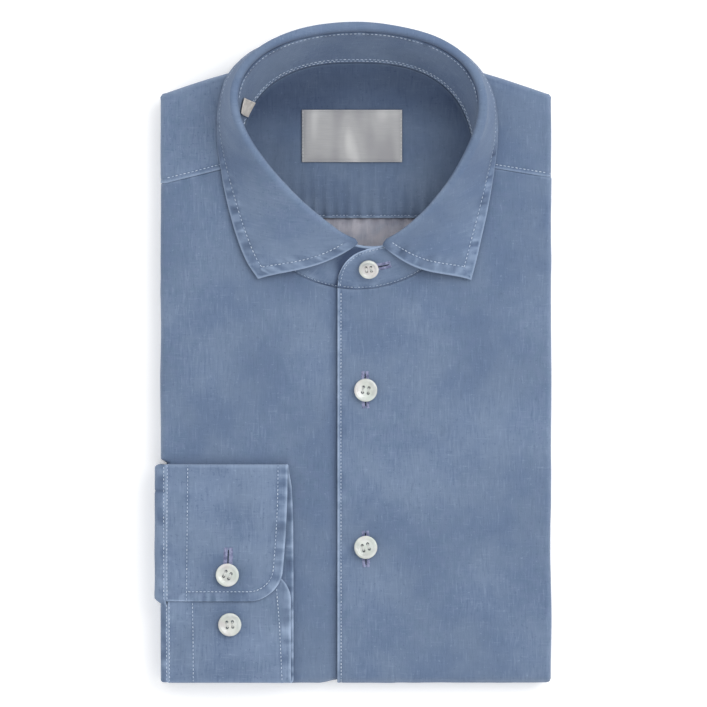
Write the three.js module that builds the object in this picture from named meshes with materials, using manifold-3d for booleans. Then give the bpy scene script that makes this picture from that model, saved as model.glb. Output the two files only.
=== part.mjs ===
// A long-sleeved denim shirt, buttoned to the neck and folded into a flat pack that lies on its back.
// Millimetres, +Z up off the table, +Y towards the collar, origin under the middle of the pack.
import * as THREE from "three";
import { mergeVertices } from "three/addons/utils/BufferGeometryUtils.js";
import Module from "manifold-3d";

// Driving dimensions
const cloth = 1.2; // wall of one sewn layer, two plies and its interlining
const gap = 0.3; // clearance between neighbouring pieces
const layer = cloth + gap;

const pack = {
  left: -106,
  right: 109.3,
  bottom: -181.4,
  shoulderY: 142.7, // where the shoulder fold leaves the sides
  neckBackY: 168.5, // top of the shoulder fold behind the neck
  shoulderBow: 1.48, // how the fold bows between the two
  height: 18,
  dome: 1.2, // the stack is this much thicker in its middle
  cornerRadius: 4.6,
};
pack.middleX = (pack.left + pack.right) / 2;
pack.halfWidth = (pack.right - pack.left) / 2;

// The rolled edges: how far the roll reaches in, and how deep it goes, at the sides and at the hem fold
const roll = { reach: 3, reachBottom: 4.5, depth: 4.9, depthBottom: 8.8, end: 150 };

// Seam between the neckline and the collar band, an oval seen from above
const neck = { x: 2, y: 98.5, halfWidth: 66, halfLength: 63.5, backSquare: 2.6 };
const well = { floor: 7, overhang: 3.2, backOverhang: 0.5 };

// Front opening: the left front laps over the right one
const placket = { edgeX: -8.7, facingX: 24, stepFromX: 25.2, stepX: 27, buttonX: 7, buttonsY: [-19.9, -106.3] };
const lap = { fullX: -12, goneX: -75 }; // where the right front lies one layer deeper, and where no longer

const yoke = { leftSeamY: 93.9, rightSeamY: 97.4, neckAngle: 2.3, raise: 0.6, innerSeamY: 74.8, backEndY: 40 };
const bowl = { floor: 10, rim: 16.8, start: 0.72, inset: 1.5 };
const gathers = { height: 0.6, pitch: 14, reach: 9, halfWidth: 44 };

// The top edge of the collar band, egg-shaped: widest towards the back
const band = { x: 2.2, y: 119.5, halfWidth: 63.5, halfLength: 58.5, backWiden: 18.5, squash: 2 };
band.frontShift = 8; // in front the oval is pulled to the wearer's left
band.frontTurn = 10;
band.frontZ = 29.5;
band.backZ = 47;
band.rise = 2.2;
band.footInset = 0.7;
band.backInset = 0.9; // the band leans out over the yoke at the back, so its foot starts further in
// The end with the buttonhole has the longer curve; the button end runs on beneath it
const bandEnds = { over: -99.4, overRadius: 24, overShare: 0.2, under: 294, underRadius: 12, underShare: 0.3 };
const leaf = { foldRadius: 1.9, stem: 2.6, start: 0.5, rest: 1.7 };

const cuffLevels = { bottom: 0.95, middle: 2.6, top: 4.3 };
const cuff = {
  topY: -60.4,
  bottomY: -180.8,
  overEndY: -135.9,
  underEndY: -119,
  seamX: -103.1,
  hemX: -35.9, // of the top layer, and of the two below it
  hemLean: 4.5, // how far the top layer's hem has leaned in at its end
  middleHemX: -34.1,
  bottomHemX: -32.7,
  underShift: 1.2, // the layers below have their seam this much to the right
  cornerRadius: 16.5,
};
const sleeve = { outerX: -108.6, lowerX: -105.3, innerX: -103.5, pocket: 3.3, pocketFromY: -57.2, pocketToY: -59.9, end: 0.95 };

const buttonRadius = 6.4;
const collarButtonRadius = 5.5;
const label = { left: -28.2, right: 27.1, bottom: 105.7, top: 134.6, wall: 1 };
const sizeTab = { from: 147, to: 157, low: 0.1, high: 0.7, lean: 9, wall: 1 };

const rows = { flat: 6, roll: 4 };

const radians = THREE.MathUtils.degToRad;
const lerp = THREE.MathUtils.lerp;
const smooth = THREE.MathUtils.smoothstep;
const vec = (x, y, z) => new THREE.Vector3(x, y, z);
const steps = (count, from, to) => Array.from({ length: count + 1 }, (_, k) => lerp(from, to, k / count));

const finishes = {
  denim: new THREE.MeshStandardMaterial({ color: 0x64799c, roughness: 0.9 }),
  denimInside: new THREE.MeshStandardMaterial({ color: 0x5b6f90, roughness: 0.92 }),
  wrongSide: new THREE.MeshStandardMaterial({ color: 0xa5a3a6, roughness: 0.95 }),
  pearl: new THREE.MeshStandardMaterial({ color: 0xe6e6e0, roughness: 0.25 }),
  labelTape: new THREE.MeshStandardMaterial({ color: 0xb9b9b7, roughness: 0.6 }),
  tabTape: new THREE.MeshStandardMaterial({ color: 0xd6cfc6, roughness: 0.7 }),
};

// Solids from grids of points

function meshFrom(points, index) {
  const geometry = new THREE.BufferGeometry();
  geometry.setAttribute("position", new THREE.Float32BufferAttribute(points.flatMap((p) => p.toArray()), 3));
  let volume = 0;
  for (let i = 0; i < index.length; i += 3) {
    const [a, b, c] = index.slice(i, i + 3).map((k) => points[k]);
    volume += a.dot(b.clone().cross(c));
  }
  if (volume < 0) {
    for (let i = 0; i < index.length; i += 3) [index[i], index[i + 1]] = [index[i + 1], index[i]];
  }
  geometry.setIndex(index);
  return geometry;
}

// Closes two grids of points [station][row] into one wall. A ring of stations closes on itself.
function wallBetween(outer, inner, ring = false) {
  const count = outer.length;
  const last = outer[0].length - 1;
  const at = (side, i, j) => (side * count + (i % count)) * (last + 1) + j;
  const index = [];
  const quad = (a, b, c, d) => index.push(a, b, c, a, c, d);
  for (let i = 0; i < (ring ? count : count - 1); i++) {
    for (let j = 0; j < last; j++) {
      quad(at(0, i, j), at(0, i + 1, j), at(0, i + 1, j + 1), at(0, i, j + 1));
      quad(at(1, i, j), at(1, i, j + 1), at(1, i + 1, j + 1), at(1, i + 1, j));
    }
    quad(at(0, i, 0), at(1, i, 0), at(1, i + 1, 0), at(0, i + 1, 0));
    quad(at(0, i, last), at(0, i + 1, last), at(1, i + 1, last), at(1, i, last));
  }
  if (!ring) {
    const end = count - 1;
    for (let j = 0; j < last; j++) {
      quad(at(0, 0, j), at(0, 0, j + 1), at(1, 0, j + 1), at(1, 0, j));
      quad(at(0, end, j), at(1, end, j), at(1, end, j + 1), at(0, end, j + 1));
    }
  }
  return meshFrom([...outer.flat(), ...inner.flat()], index);
}

function gridNormal(grid, i, j, ring) {
  const count = grid.length;
  const next = ring ? grid[(i + 1) % count] : grid[Math.min(i + 1, count - 1)];
  const before = ring ? grid[(i + count - 1) % count] : grid[Math.max(i - 1, 0)];
  const along = next[j].clone().sub(before[j]);
  const line = grid[i];
  const across = line[Math.min(j + 1, line.length - 1)].clone().sub(line[Math.max(j - 1, 0)]);
  return along.cross(across).normalize();
}

// A wall of the given thickness on both sides of a grid of points
function wallAround(grid, thickness, ring = false) {
  const offset = (distance) =>
    grid.map((line, i) => line.map((p, j) => p.clone().addScaledVector(gridNormal(grid, i, j, ring), distance)));
  return wallBetween(offset(thickness / 2), offset(-thickness / 2), ring);
}

// A solid from closed rings of points, capped at both ends with a fan
function solidOfRings(rings) {
  const count = rings[0].length;
  const middle = (ring) => ring.reduce((sum, p) => sum.add(p), vec(0, 0, 0)).divideScalar(count);
  const points = [...rings.flat(), middle(rings[0]), middle(rings[rings.length - 1])];
  const top = rings.length * count;
  const index = [];
  for (let i = 0; i < count; i++) {
    const next = (i + 1) % count;
    for (let k = 0; k < rings.length - 1; k++) {
      const a = k * count + i;
      const b = k * count + next;
      index.push(a, a + count, b + count, a, b + count, b);
    }
    index.push(top, i, next);
    index.push(top + 1, top - count + next, top - count + i);
  }
  return meshFrom(points, index);
}

// The pack's outline: each station pairs a point on the outline with a point on the neck seam

const neckAngleAtX = (x) => -THREE.MathUtils.radToDeg(Math.acos((x - neck.x) / neck.halfWidth));

function neckPoint(angle, grow) {
  const c = Math.cos(radians(angle));
  const s = Math.sin(radians(angle));
  const power = s > 0 ? 2 / neck.backSquare : 1; // round in front, squarer across the back
  return {
    x: neck.x + (neck.halfWidth + grow) * Math.sign(c) * Math.abs(c) ** power,
    y: neck.y + (neck.halfLength + grow) * Math.sign(s) * Math.abs(s) ** power,
  };
}

function shoulderFold(x) {
  const share = Math.abs(x - pack.middleX) / pack.halfWidth;
  const drop = pack.neckBackY - pack.shoulderY;
  const slope = (-Math.sign(x - pack.middleX) * drop * pack.shoulderBow * share ** (pack.shoulderBow - 1)) / pack.halfWidth;
  const normal = new THREE.Vector2(-slope, 1).normalize();
  return { x, y: pack.neckBackY - drop * share ** pack.shoulderBow, nx: normal.x, ny: normal.y, deep: 0, back: 1 };
}

// The left side stands in a little where the sleeve wraps round it
const leftEdge = (y) => pack.left + sleeve.pocket * smooth(-y, -sleeve.pocketFromY, -sleeve.pocketToY);
const side = (x, y, nx) => ({ x, y, nx, ny: 0, deep: 0, back: smooth(y, yoke.rightSeamY, pack.shoulderY) });
const hem = (x) => ({ x, y: pack.bottom, nx: 0, ny: -1, deep: 1, back: 0 });

// A corner is pressed squarer than its roll: t runs from 0 to 1 round it
function corner(x, y, degrees, t, deep, back) {
  const a = radians(degrees);
  const turn = (t * Math.PI) / 2;
  const pressed = pack.cornerRadius * ((Math.cos(turn) ** 4 + Math.sin(turn) ** 4) ** -0.25 - 1);
  const r = pack.cornerRadius + pressed;
  return { x: x + r * Math.cos(a), y: y + r * Math.sin(a), nx: Math.cos(a), ny: Math.sin(a), deep, back, pressed };
}

const shoulderCorner = (() => {
  const touch = shoulderFold(pack.right - pack.cornerRadius * 0.67);
  const angle = THREE.MathUtils.radToDeg(Math.atan2(touch.ny, touch.nx));
  const r = pack.cornerRadius;
  return { angle, endX: touch.x, y: touch.y - r * touch.ny, x: touch.x - r * touch.nx };
})();
const mirrored = (x) => 2 * pack.middleX - x;

// One row for each stretch of the outline, anticlockwise from the placket edge
const r = pack.cornerRadius;
const bottomLeft = leftEdge(pack.bottom);
const sideLeftY = [yoke.leftSeamY, 66, 38, 10, -18, -36, sleeve.pocketFromY, sleeve.pocketToY, -90, -120, -150];
const stretches = [
  { name: "lap", count: 3, angles: [neckAngleAtX(placket.edgeX), neckAngleAtX(placket.facingX)],
    edge: (t) => hem(lerp(placket.edgeX, placket.facingX, t)) },
  { name: "facing", count: 1, angles: [neckAngleAtX(placket.facingX), neckAngleAtX(placket.stepX)],
    edge: (t) => hem(lerp(placket.facingX, placket.stepX, t)) },
  { name: "hemRight", count: 4, angles: [neckAngleAtX(placket.stepX), -48],
    edge: (t) => hem(lerp(placket.stepX, pack.right - r, t)) },
  { name: "cornerRight", count: 6, angles: [-48, -44],
    edge: (t) => corner(pack.right - r, pack.bottom + r, lerp(-90, 0, t), t, 1 - smooth(t, 0, 1), 0) },
  { name: "sideRight", count: 8, angles: [-44, yoke.neckAngle],
    edge: (t) => side(pack.right, lerp(pack.bottom + r, yoke.rightSeamY, t), 1) },
  { name: "yokeRight", count: 3, angles: [yoke.neckAngle, 25],
    edge: (t) => side(pack.right, lerp(yoke.rightSeamY, shoulderCorner.y, t), 1) },
  { name: "shoulderRight", count: 5, angles: [25, 30],
    edge: (t) => corner(shoulderCorner.x, shoulderCorner.y, lerp(0, shoulderCorner.angle, t), t, 0, 1) },
  { name: "fold", count: 14, angles: [30, 150],
    edge: (t) => shoulderFold(lerp(shoulderCorner.endX, mirrored(shoulderCorner.endX), t)) },
  { name: "shoulderLeft", count: 5, angles: [150, 155],
    edge: (t) => corner(mirrored(shoulderCorner.x), shoulderCorner.y, lerp(180 - shoulderCorner.angle, 180, t), t, 0, 1) },
  { name: "yokeLeft", count: 3, angles: [155, 180 - yoke.neckAngle],
    edge: (t) => side(pack.left, lerp(shoulderCorner.y, yoke.leftSeamY, t), -1) },
  { name: "sideLeft", count: sideLeftY.length, angles: [180 - yoke.neckAngle, 224],
    edge: (t) => {
      const y = sideLeftY[Math.round(t * sideLeftY.length)];
      return side(leftEdge(y), y, -1);
    } },
  { name: "cornerLeft", count: 6, angles: [224, 228],
    edge: (t) => corner(bottomLeft + r, pack.bottom + r, lerp(180, 270, t), t, smooth(t, 0, 1), 0) },
  { name: "hemLeft", count: 5, angles: [228, 360 + neckAngleAtX(placket.edgeX)],
    edge: (t) => hem(lerp(bottomLeft + r, placket.edgeX, t)) },
];

const stations = [];
const first = {}; // the index of each stretch's first station
for (const stretch of stretches) {
  first[stretch.name] = stations.length;
  for (let k = 0; k < stretch.count; k++) {
    const t = k / stretch.count;
    const upright = stretch.name === "lap" || stretch.name === "facing";
    const edge = stretch.edge(t);
    const angle = upright ? neckAngleAtX(edge.x) : lerp(...stretch.angles, t);
    stations.push({ edge, angle });
  }
}
const stationsFrom = (a, b) => {
  const count = b >= a ? b - a : b - a + stations.length;
  return Array.from({ length: count + 1 }, (_, k) => stations[(a + k) % stations.length]);
};

// Heights and depths over the pack

function topHeight(x, y) {
  const across = (x - pack.middleX) / pack.halfWidth;
  const along = y / -pack.bottom;
  return pack.height + pack.dome * Math.max(0, 1 - across ** 2) * Math.max(0, 1 - along ** 2);
}
// How much deeper the right front lies than the left one
const lapDepth = (x) => layer * smooth(x, lap.goneX, lap.fullX);
function coreDepth(x, share, edge) {
  const slack = smooth(share, 0.8, 1) * (0.08 + 0.6 * edge.deep * (1 - edge.deep));
  if (x <= placket.stepFromX) return lapDepth(x) + layer + slack;
  const stepped = Math.min(1, (x - placket.stepFromX) / (placket.stepX - placket.stepFromX));
  return lerp(2 * layer, layer, stepped) + slack;
}

// A point of a layer that covers the pack: rows run from the neck seam over the flat and round the rolled edge
function packPoint(station, row, depthAt, grow, shiftY = 0, ease = () => 0) {
  const { edge, angle } = station;
  const from = neckPoint(angle, grow);
  const reach = lerp(roll.reach, roll.reachBottom, edge.deep) + (edge.pressed ?? 0);
  const fall = lerp(roll.depth, roll.depthBottom, edge.deep);
  const foot = { x: edge.x - reach * edge.nx, y: edge.y - reach * edge.ny };
  const share = Math.min(1, row / rows.flat);
  const x = lerp(from.x, foot.x, share);
  const y = lerp(from.y, foot.y, share);
  const depth = depthAt(x, share, edge);
  const top = topHeight(x, y) - depth;
  if (row <= rows.flat) return vec(x, y + shiftY, top);
  const a = radians((roll.end * (row - rows.flat)) / rows.roll);
  const out = (reach - depth + ease(x)) * Math.sin(a);
  return vec(x + out * edge.nx, y + out * edge.ny + shiftY, top - (fall - depth) * (1 - Math.cos(a)));
}

// One cut panel over the pack, its skin and its lining from the same stations
function panel(list, skinDepth, liningDepth, seamShift = [0, 0], ease = () => 0) {
  const lines = (depthAt) =>
    list.map((station, i) => {
      const shift = i === 0 ? seamShift[0] : i === list.length - 1 ? seamShift[1] : 0;
      return steps(rows.flat + rows.roll, 0, rows.flat + rows.roll).map((row) =>
        packPoint(station, row, depthAt, gap, shift, ease),
      );
    });
  return wallBetween(lines(skinDepth), lines(liningDepth));
}

const frontLeft = () =>
  panel(stationsFrom(first.lap, first.yokeRight), () => 0, () => cloth, [0, -gap / 2]);
// The right front's hem comes out as far as the left one's until it goes under it
const frontRight = () =>
  panel(
    stationsFrom(first.sideLeft, first.facing),
    lapDepth,
    (x) => lapDepth(x) + cloth,
    [-gap / 2, 0],
    (x) => lapDepth(x) * (1 - smooth(x, -20, -9.5)),
  );
// The yoke is double, and its skin stands above the fronts until it turns over the edge
const yokeOuter = () =>
  panel(
    stationsFrom(first.yokeRight, first.sideLeft),
    (x, share) => -yoke.raise * (1 - smooth(share, 0.75, 1)),
    () => cloth,
    [gap / 2, gap / 2],
  );

// The hidden layers: folded sides, sleeves and tail, one solid whose edges show the folds

// One row for each ring down the edge: at the sides, the inset from the outline and the height
const foldedEdge = [
  { inset: 3.1, z: 9.3, bottomInset: 4.1, bottomZ: 3.3 },
  { inset: 3.0, z: 8.5, bottomInset: 4.2, bottomZ: 2.8 },
  { inset: 1.3, z: 8.1, bottomInset: 4.25, bottomZ: 2.4 },
  { inset: 0.5, z: 7.2, bottomInset: 4.3, bottomZ: 2.1 },
  { inset: 0.5, z: 5.5, bottomInset: 4.3, bottomZ: 1.8 },
  { inset: 1.3, z: 4.5, bottomInset: 4.3, bottomZ: 1.4 },
  { inset: 2.6, z: 4.2, bottomInset: 4.3, bottomZ: 1.1 },
  { inset: 1.2, z: 3.9, bottomInset: 4.3, bottomZ: 0.8 },
  { inset: 0.6, z: 3.0, bottomInset: 4.3, bottomZ: 0.6 },
  { inset: 0.7, z: 1.3, bottomInset: 4.3, bottomZ: 0.4 },
  { inset: 1.5, z: 0.3, bottomInset: 4.4, bottomZ: 0.2 },
  { inset: 2.6, z: 0, bottomInset: 4.7, bottomZ: 0 },
];
const tailSetback = 5; // the folded tail ends this far inside the shoulder fold
const waver = { size: 0.5, waves: 9 }; // no fold lies quite straight

function foldedLayers() {
  const loop = stationsFrom(0, stations.length - 1);
  // The rim of the well stands back under the fronts, and less so behind the neck, where the fold is near
  const rim = ({ angle }) => lerp(well.overhang, well.backOverhang, smooth(Math.sin(radians(angle)), 0.2, 0.7));
  const wellRing = (grow, z) =>
    loop.map((station) => {
      const { x, y } = neckPoint(station.angle, rim(station) + grow);
      return vec(x, y, z);
    });
  const cover = (row) => loop.map((station) => packPoint(station, row, coreDepth, rim(station)));
  const edgeRing = (fold, k) =>
    loop.map(({ edge }, i) => {
      const wobble = waver.size * Math.sin((2 * Math.PI * waver.waves * i) / loop.length + k * 0.4);
      const free = lerp(fold.inset + tailSetback * edge.back + Math.abs(wobble), fold.bottomInset, edge.deep);
      return vec(edge.x - free * edge.nx, edge.y - free * edge.ny, lerp(fold.z, fold.bottomZ, edge.deep));
    });
  return solidOfRings([
    wellRing(-7, well.floor),
    wellRing(-0.7, well.floor),
    ...steps(rows.flat + rows.roll, 0, rows.flat + rows.roll).map(cover),
    ...foldedEdge.map(edgeRing),
  ]);
}

// Inside the neck: the inner yoke with its seam, and the back below it, seen on the wrong side

function insideHeight(x, y) {
  const power = y > neck.y ? neck.backSquare : 2;
  const across = Math.abs(x - neck.x) / (neck.halfWidth - bowl.inset);
  const along = Math.abs(y - neck.y) / (neck.halfLength - bowl.inset);
  const share = (across ** power + along ** power) ** (1 / power);
  return lerp(bowl.floor, bowl.rim, smooth(share, bowl.start, 1));
}
function gatherHeight(x, y) {
  const fade = Math.exp(-(y - yoke.innerSeamY) / gathers.reach) * (1 - smooth(Math.abs(x), gathers.halfWidth - 12, gathers.halfWidth));
  return gathers.height * fade * (1 + Math.cos((2 * Math.PI * x) / gathers.pitch));
}
function yokeInner() {
  const columns = 36;
  const seam = { right: 60, left: -56 };
  const angles = { right: -18, left: 198 };
  const sheet = (below) =>
    steps(columns, 0, 1).map((t) => {
      const rim = neckPoint(lerp(angles.right, angles.left, t), -bowl.inset);
      const seamX = lerp(seam.right, seam.left, t);
      return [0, 0.05, 0.12, 0.25, 0.45, 0.65, 0.8, 0.92, 1].map((share) => {
        const x = lerp(seamX, rim.x, share);
        const y = lerp(yoke.innerSeamY, rim.y, share);
        return vec(x, y, insideHeight(x, y) + gatherHeight(x, y) - below);
      });
    });
  return wallBetween(sheet(0), sheet(cloth));
}
function backPanel() {
  const underLap = 13; // the back runs up between the two yokes
  const top = bowl.floor - layer;
  const sheet = (z) =>
    steps(4, -44, 48).map((x) =>
      [yoke.backEndY, 58, yoke.innerSeamY + underLap].map((y) =>
        vec(lerp(neck.x, x, y < 50 ? 0.55 : y < 70 ? 0.85 : 1), y, z),
      ),
    );
  return wallBetween(sheet(top), sheet(top - cloth));
}
function neckLabel() {
  const sheet = (lift) =>
    steps(3, label.left, label.right).map((x) =>
      steps(2, label.bottom, label.top).map((y) => vec(x, y, insideHeight(x, y) + 2 * gap + lift)),
    );
  return wallBetween(sheet(label.wall), sheet(0));
}

// The collar: a standing band and the leaf that folds over it

function bandTop(angle) {
  const front = (1 - Math.sin(radians(angle))) / 2;
  const a = radians(angle - band.frontTurn * front ** 2);
  return vec(
    band.x + band.frontShift * front ** 2.5 + (band.halfWidth + band.backWiden * Math.sin(a)) * Math.cos(a),
    band.y + band.halfLength * Math.sin(a) + band.squash * Math.cos(2 * a),
    lerp(band.frontZ, band.backZ, 1 - front ** band.rise),
  );
}
// The band's middle surface at an angle round the neck, with its directions up and out
function bandFrame(angle) {
  const a = radians(angle);
  const foot = neckPoint(angle, -band.footInset - band.backInset * Math.max(0, Math.sin(a)));
  const under = angle > 180 ? lapDepth(foot.x) / layer : 0;
  const low = vec(foot.x, foot.y, topHeight(foot.x, foot.y) - cloth / 2 - under * layer * 1.2);
  const high = bandTop(angle);
  const up = high.clone().sub(low).normalize();
  const round = bandTop(angle + 0.5).sub(bandTop(angle - 0.5)).normalize();
  const out = up.clone().cross(round).normalize().negate();
  high.addScaledVector(out, -under * layer * 1.15);
  return { low, high, up, out };
}
function bandPoint(angle, share) {
  const { low, high } = bandFrame(angle);
  return low.lerp(high, share);
}
// The rounded tips of the band, in shares of its height
function tipShare(angle) {
  const over = angle < 90;
  const toEnd = over ? angle - bandEnds.over : bandEnds.under - angle;
  const radius = over ? bandEnds.overRadius : bandEnds.underRadius;
  const along = (radians(toEnd) * (neck.halfWidth + neck.halfLength)) / 2;
  if (along >= radius) return 1;
  return lerp(over ? bandEnds.overShare : bandEnds.underShare, 1, Math.sqrt(1 - (1 - along / radius) ** 2));
}
const bandAngles = [
  bandEnds.over, bandEnds.over + 0.7, bandEnds.over + 2.8, bandEnds.over + 6.5,
  ...steps(47, -88, 286).slice(0, -1),
  bandEnds.under - 6.5, bandEnds.under - 2.8, bandEnds.under - 0.7, bandEnds.under,
];
function collarBand() {
  return wallAround(
    bandAngles.map((angle) => steps(4, 0, tipShare(angle)).map((share) => bandPoint(angle, share))),
    cloth,
  );
}

// The leaf's outer edge, from the left point round the back to the right point. A height of 0 rests on the pack.
const leafEdge = [
  { angle: 270.5, x: -52.2, y: 41.2, z: 0, pull: 4 },
  { angle: 255, x: -58.3, y: 50.5, z: 0, pull: 5 },
  { angle: 238, x: -63.2, y: 62.5, z: 0, pull: 6 },
  { angle: 218, x: -68.2, y: 80, z: 0, pull: 7 },
  { angle: 200, x: -72, y: 99, z: 0, pull: 8 },
  { angle: 180, x: -74.4, y: 119, z: 0, pull: 9 },
  { angle: 160, x: -73.2, y: 139, z: 0, pull: 10 },
  { angle: 145, x: -67.8, y: 154, z: 20.2, pull: 12 },
  { angle: 128, x: -54, y: 167, z: 14.5, pull: 14 },
  { angle: 110, x: -30, y: 174.5, z: 10.5, pull: 16 },
  { angle: 90, x: 1.5, y: 177, z: 9.2, pull: 16 },
  { angle: 70, x: 33, y: 174.5, z: 10.5, pull: 16 },
  { angle: 52, x: 57, y: 167, z: 14.5, pull: 14 },
  { angle: 35, x: 71, y: 154, z: 20.2, pull: 12 },
  { angle: 20, x: 77.6, y: 139, z: 0, pull: 10 },
  { angle: 0, x: 79.2, y: 119, z: 0, pull: 9 },
  { angle: -20, x: 77, y: 99, z: 0, pull: 8 },
  { angle: -38, x: 74, y: 80, z: 0, pull: 7 },
  { angle: -56, x: 70.3, y: 62.5, z: 0, pull: 6 },
  { angle: -69, x: 67.6, y: 50.5, z: 0, pull: 5 },
  { angle: -72, x: 64.9, y: 40.6, z: 0, pull: 4 },
];
const leafCurves = (() => {
  const restHeight = (row) => row.z || topHeight(row.x, row.y) + leaf.rest;
  const edge = new THREE.CatmullRomCurve3(leafEdge.map((row) => vec(row.x, row.y, restHeight(row))));
  const turn = new THREE.CatmullRomCurve3(leafEdge.map((row) => vec(row.angle, row.pull, 0)));
  return { edge, turn };
})();

// One section of the leaf: up from the band, round the fold and down to the outer edge
function leafSection(t) {
  const turn = leafCurves.turn.getPoint(t);
  const end = leafCurves.edge.getPoint(t);
  const { high, up, out } = bandFrame(turn.x);
  const centre = high.clone().addScaledVector(up, leaf.stem).addScaledVector(out, leaf.foldRadius);
  const fold = steps(4, 180, 0).map((degrees) =>
    centre
      .clone()
      .addScaledVector(out, leaf.foldRadius * Math.cos(radians(degrees)))
      .addScaledVector(up, leaf.foldRadius * Math.sin(radians(degrees))),
  );
  const start = fold[fold.length - 1];
  const towards = start.clone().sub(end);
  const fall = new THREE.CubicBezierCurve3(
    start,
    start.clone().addScaledVector(up, -turn.y),
    end.clone().addScaledVector(towards, 0.4).addScaledVector(out, 1.5),
    end,
  );
  return [high.clone().addScaledVector(up, leaf.start), ...fold, ...fall.getPoints(5).slice(1)];
}
const collarLeaf = () => wallAround(steps(48, 0, 1).map(leafSection), cloth);

// The size tab hangs from the neck seam against the band's inner face
function neckTab() {
  const away = cloth / 2 + 2.2 * gap + sizeTab.wall / 2;
  return wallAround(
    steps(3, sizeTab.from, sizeTab.to).map((foot) =>
      steps(3, sizeTab.low, sizeTab.high).map((share) => {
        const angle = foot + (sizeTab.lean * (share - sizeTab.low)) / (sizeTab.high - sizeTab.low);
        const { out } = bandFrame(angle);
        return bandPoint(angle, share).addScaledVector(out, -away);
      }),
    ),
    sizeTab.wall,
  );
}

// The right sleeve comes round the pack's left side, and its buttoned cuff lies on the front

const underCuff = (x, y) => topHeight(x, y) - lapDepth(x);

// The cuff is a band folded into a flat tube: one row for each point of its section, from the buttonhole end
function cuffSection() {
  const { top, middle, bottom } = cuffLevels;
  const start = cuff.overEndY;
  const leaned = (y) => cuff.hemX - cuff.hemLean * (Math.max(0, cuff.topY - 2.3 - y) / (cuff.topY - 2.3 - cuff.overEndY)) ** 2;
  const turnOver = (centreY, lower, upper, facing) => {
    const r = (upper - lower) / 2;
    return [60, 20, -20, -60].map((degrees, k) => ({
      y: centreY + facing * r * 1.3 * Math.cos(radians(degrees)),
      level: lower + r + r * Math.sin(radians(degrees)),
      under: facing > 0 ? (1 - Math.sin(radians(degrees))) / 2 : 1,
      hem: facing > 0 ? cuff.hemX + 0.2 * k : lerp(cuff.middleHemX, cuff.bottomHemX, k / 3),
    }));
  };
  const topFold = turnOver(cuff.topY - 2.8, bottom, top, 1);
  const bottomFold = turnOver(cuff.bottomY + 1.6, bottom, middle, -1).reverse();
  return [
    ...[0, 0.8, 3, 7, 11.5, cuff.cornerRadius].map((t) => (
      { y: start + t, level: top, hem: leaned(start + t), fromEnd: t })),
    { y: -108, level: top, hem: leaned(-108) },
    { y: -95, level: top, hem: leaned(-95) },
    { y: -80, level: top - 0.1, hem: leaned(-80) },
    { y: cuff.topY - 5, level: top - 0.05 },
    ...topFold,
    { y: cuff.topY - 5, level: bottom, under: 1, hem: cuff.hemX + 0.9 },
    { y: cuff.topY - 13, level: bottom, under: 1, hem: cuff.hemX + 2.3 },
    { y: -90, level: bottom, under: 1, hem: cuff.bottomHemX - 0.2 },
    { y: -120, level: bottom, under: 1, hem: cuff.bottomHemX },
    { y: -150, level: bottom, under: 1, hem: cuff.bottomHemX },
    { y: cuff.bottomY + 4, level: bottom, under: 1, hem: cuff.bottomHemX },
    ...bottomFold,
    { y: cuff.bottomY + 4, level: middle, under: 1, hem: cuff.middleHemX },
    { y: -158, level: middle, under: 1, hem: cuff.middleHemX },
    ...[cuff.cornerRadius, 11.5, 7, 3, 0.8, 0].map((t) => (
      { y: cuff.underEndY - t, level: middle, under: 1, hem: cuff.middleHemX, fromEnd: t })),
  ];
}
function cuffBand() {
  const grid = cuffSection().map(({ y, level, under = 0, hem = cuff.hemX, fromEnd = Infinity }) => {
    const lost = Math.max(0, 1 - fromEnd / cuff.cornerRadius);
    const round = cuff.cornerRadius * (1 - Math.sqrt(1 - lost ** 2));
    const seamX = cuff.seamX + under * cuff.underShift;
    return steps(5, seamX, hem - round).map((x) => vec(x, y, underCuff(x, y) + level));
  });
  return wallAround(grid, cloth);
}

// The sleeve is a flat tube too: its ring of points steps from the cuff seam round the side to the table
function sleeveTube() {
  const seam = cuff.seamX - 1.5 * gap;
  const outerLine = (y) => lerp(sleeve.outerX, sleeve.lowerX, smooth(-y, -cuff.overEndY - 1.4, -cuff.overEndY + 0.9));
  const ring = [
    ...[-176.5, -158, -140, -137, -135.6, -134.3, -120, -100, -80, -65].map((y) => ({ y, skin: 1 })),
    ...[0.8, 0.5, 0.2].map((skin, k) => ({ y: cuff.topY - [2.2, 0.7, 2.2][k], skin })),
    ...[-65, -85, -110, -140, -160, -176.5].map((y) => ({ y, skin: 0 })),
    ...[0.2, 0.5, 0.8].map((skin, k) => ({ y: cuff.bottomY + [1.8, 0.7, 1.8][k], skin })),
  ];
  const grid = ring.map(({ y, skin }) => {
    const x = lerp(sleeve.innerX, outerLine(y), skin);
    const shoulder = topHeight(seam, y) + lerp(cuffLevels.bottom, y < cuff.overEndY ? cuffLevels.middle : cuffLevels.top, skin);
    const start = seam + cuff.underShift * Math.max(1 - skin, smooth(-y, -cuff.overEndY, -cuff.overEndY + 4));
    return [
      vec(start, y, shoulder),
      vec(lerp(start, x, 0.55), y, shoulder - 0.2 - 0.5 * skin),
      vec(lerp(start, x, 0.9), y, shoulder - lerp(0.8, 2, skin)),
      vec(x, y, shoulder - lerp(2, 4, skin)),
      vec(x, y, 11),
      vec(x, y, 6),
      vec(x + 0.2 * skin, y, sleeve.end),
    ];
  });
  return wallAround(grid, cloth, true);
}

// Buttons: a turned disc with a rim, a dished middle and four thread holes

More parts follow.
